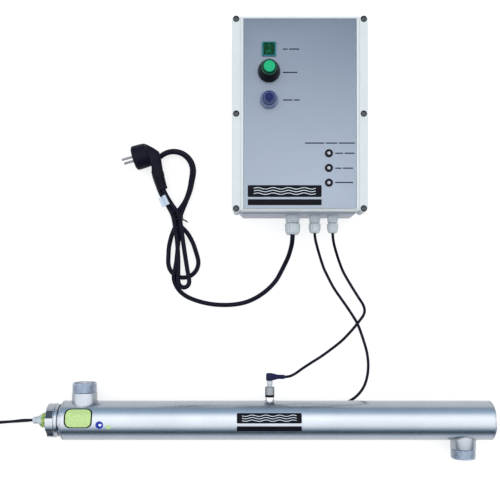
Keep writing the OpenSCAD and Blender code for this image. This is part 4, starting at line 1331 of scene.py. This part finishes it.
def inside_details():
    """Screws of the terminals, cans and chips on the board, and the ballast's label."""
    bm = bmesh.new()
    for i in range(10):
        for y in (86, 96):
            place = at(25 + i * 10.5, y, 24.4)
            turned(bm, [(0, 0), (2.2, 0), (2.2, 1.6), (0, 1.6)], place, radius=0.3, angles=24)
            box(bm, (-1.8, -0.25, 1.5), (1.8, 0.25, 1.75), radius=0, place=place, material=1)
    keep(bm, "terminal_screws", "root", "plated_steel", materials=["plated_steel", "component_black"])
    bm = bmesh.new()
    for i in range(4):
        place = at(-14 + i * 12, 140, 33.4)
        turned(bm, [(0, 0), (4.4, 0), (4.4, 0.5), (3.6, 0.5), (3.4, 0.2), (0, 0.2)], place, radius=0.2,
               angles=32)
    for i in range(6):
        box(bm, (-20 + 14 * i, 116, 17.6), (-14 + 14 * i, 119, 19.4), radius=0.3)
    keep(bm, "board_metal", "root", "plated_steel")
    bm = bmesh.new()
    slab(bm, (121, 270), (42, 120), 2, 54, 54.3, edge=0.1, steps=1)
    keep(bm, "ballast_label", "root", "tag_white", materials=["print_pale"])


body_tube()
end_welds()
end_cap()
nipple("inlet_pipe", INLET_X, 1, "inlet_nipple")
nipple("outlet_pipe", OUTLET_X, -1, "outlet_nipple")
lamp_head()
sensor()
reactor_labels()
cabinet_base()
cabinet_lid()
front_plate()
plate_marks()
lid_screws()
rocker_switch()
push_buttons()
lights()
cable_glands()
plug()
tag()
tie()
dress_inside()
inside_details()


# ---- Floor and light ----

floor_mesh = bpy.data.meshes.new("floor")
floor_mesh.from_pydata([(-6, -6, 0), (6, -6, 0), (6, 6, 0), (-6, 6, 0)], [], [(0, 1, 2, 3)])
floor_mesh.materials.append(finish_of("floor_paper", (0.24, 0.24, 0.24), 0.9, specular=0.0, size=2.0, depth=0.0,
                                      tint=0.0, Emission_Color=(1, 1, 1, 1), Emission_Strength=0.76))
floor = bpy.data.objects.new("floor", floor_mesh)
bpy.context.scene.collection.objects.link(floor)
floor.location.z = -0.0002


def soft_room():
    """A studio round the object: bright overhead, darker toward the horizon, darkest low on the -Y side."""
    world = bpy.data.worlds.new("studio")
    bpy.context.scene.world = world
    world.use_nodes = True
    tree = world.node_tree
    parts = new_node(tree, "SeparateXYZ")
    tree.links.new(new_node(tree, "TexCoord").outputs["Generated"], parts.inputs["Vector"])
    angle = new_node(tree, "Math", operation="ARCTAN2")
    tree.links.new(parts.outputs["Y"], angle.inputs[0])
    tree.links.new(parts.outputs["Z"], angle.inputs[1])
    share = new_node(tree, "MapRange", {"From Min": -math.pi / 2, "From Max": math.pi / 2})
    tree.links.new(angle.outputs[0], share.inputs["Value"])
    # Degrees from straight up, toward +Y, and how bright it is there. The brightest part is a little warmer
    stops = [(-90, 0.9), (-80, 0.5), (-70, 0.04), (-57, 0.04), (-47, 0.5), (-40, 1.0), (-33, 1.4), (-20, 1.95),
             (-5, 2.15), (15, 2.25), (30, 2.05), (40, 1.6), (50, 1.12), (60, 0.8), (90, 0.5)]
    sky = ramp_of(tree, share.outputs["Result"],
                  [((a + 90) / 180, (0.99 * v, v, v) if v > 1.2 else (0.76 * v, v, 1.25 * v))
                   for a, v in stops])
    background = tree.nodes["Background"]
    tree.links.new(sky, background.inputs["Color"])
    background.inputs["Strength"].default_value = 1.0
    # What shows behind the floor is plain and pale
    plain = new_node(tree, "Background", {"Color": (0.83, 0.86, 0.9, 1), "Strength": 1.0})
    seen = new_node(tree, "MixShader")
    tree.links.new(new_node(tree, "LightPath").outputs["Is Camera Ray"], seen.inputs["Fac"])
    tree.links.new(background.outputs["Background"], seen.inputs[1])
    tree.links.new(plain.outputs["Background"], seen.inputs[2])
    tree.links.new(seen.outputs["Shader"], tree.nodes["World Output"].inputs["Surface"])


def soft_box(name, place, aim, size, power):
    light = bpy.data.lights.new(name, "AREA")
    light.shape = "RECTANGLE"
    light.size, light.size_y = size
    light.energy = power
    made = bpy.data.objects.new(name, light)
    bpy.context.scene.collection.objects.link(made)
    made.location = place
    made.rotation_mode = "QUATERNION"
    made.rotation_quaternion = (Vector(aim) - Vector(place)).to_track_quat("-Z", "Y")


soft_room()
soft_box("key", (0.1, 0.9, 2.4), (0, -0.05, 0), (2.4, 1.6), 4)
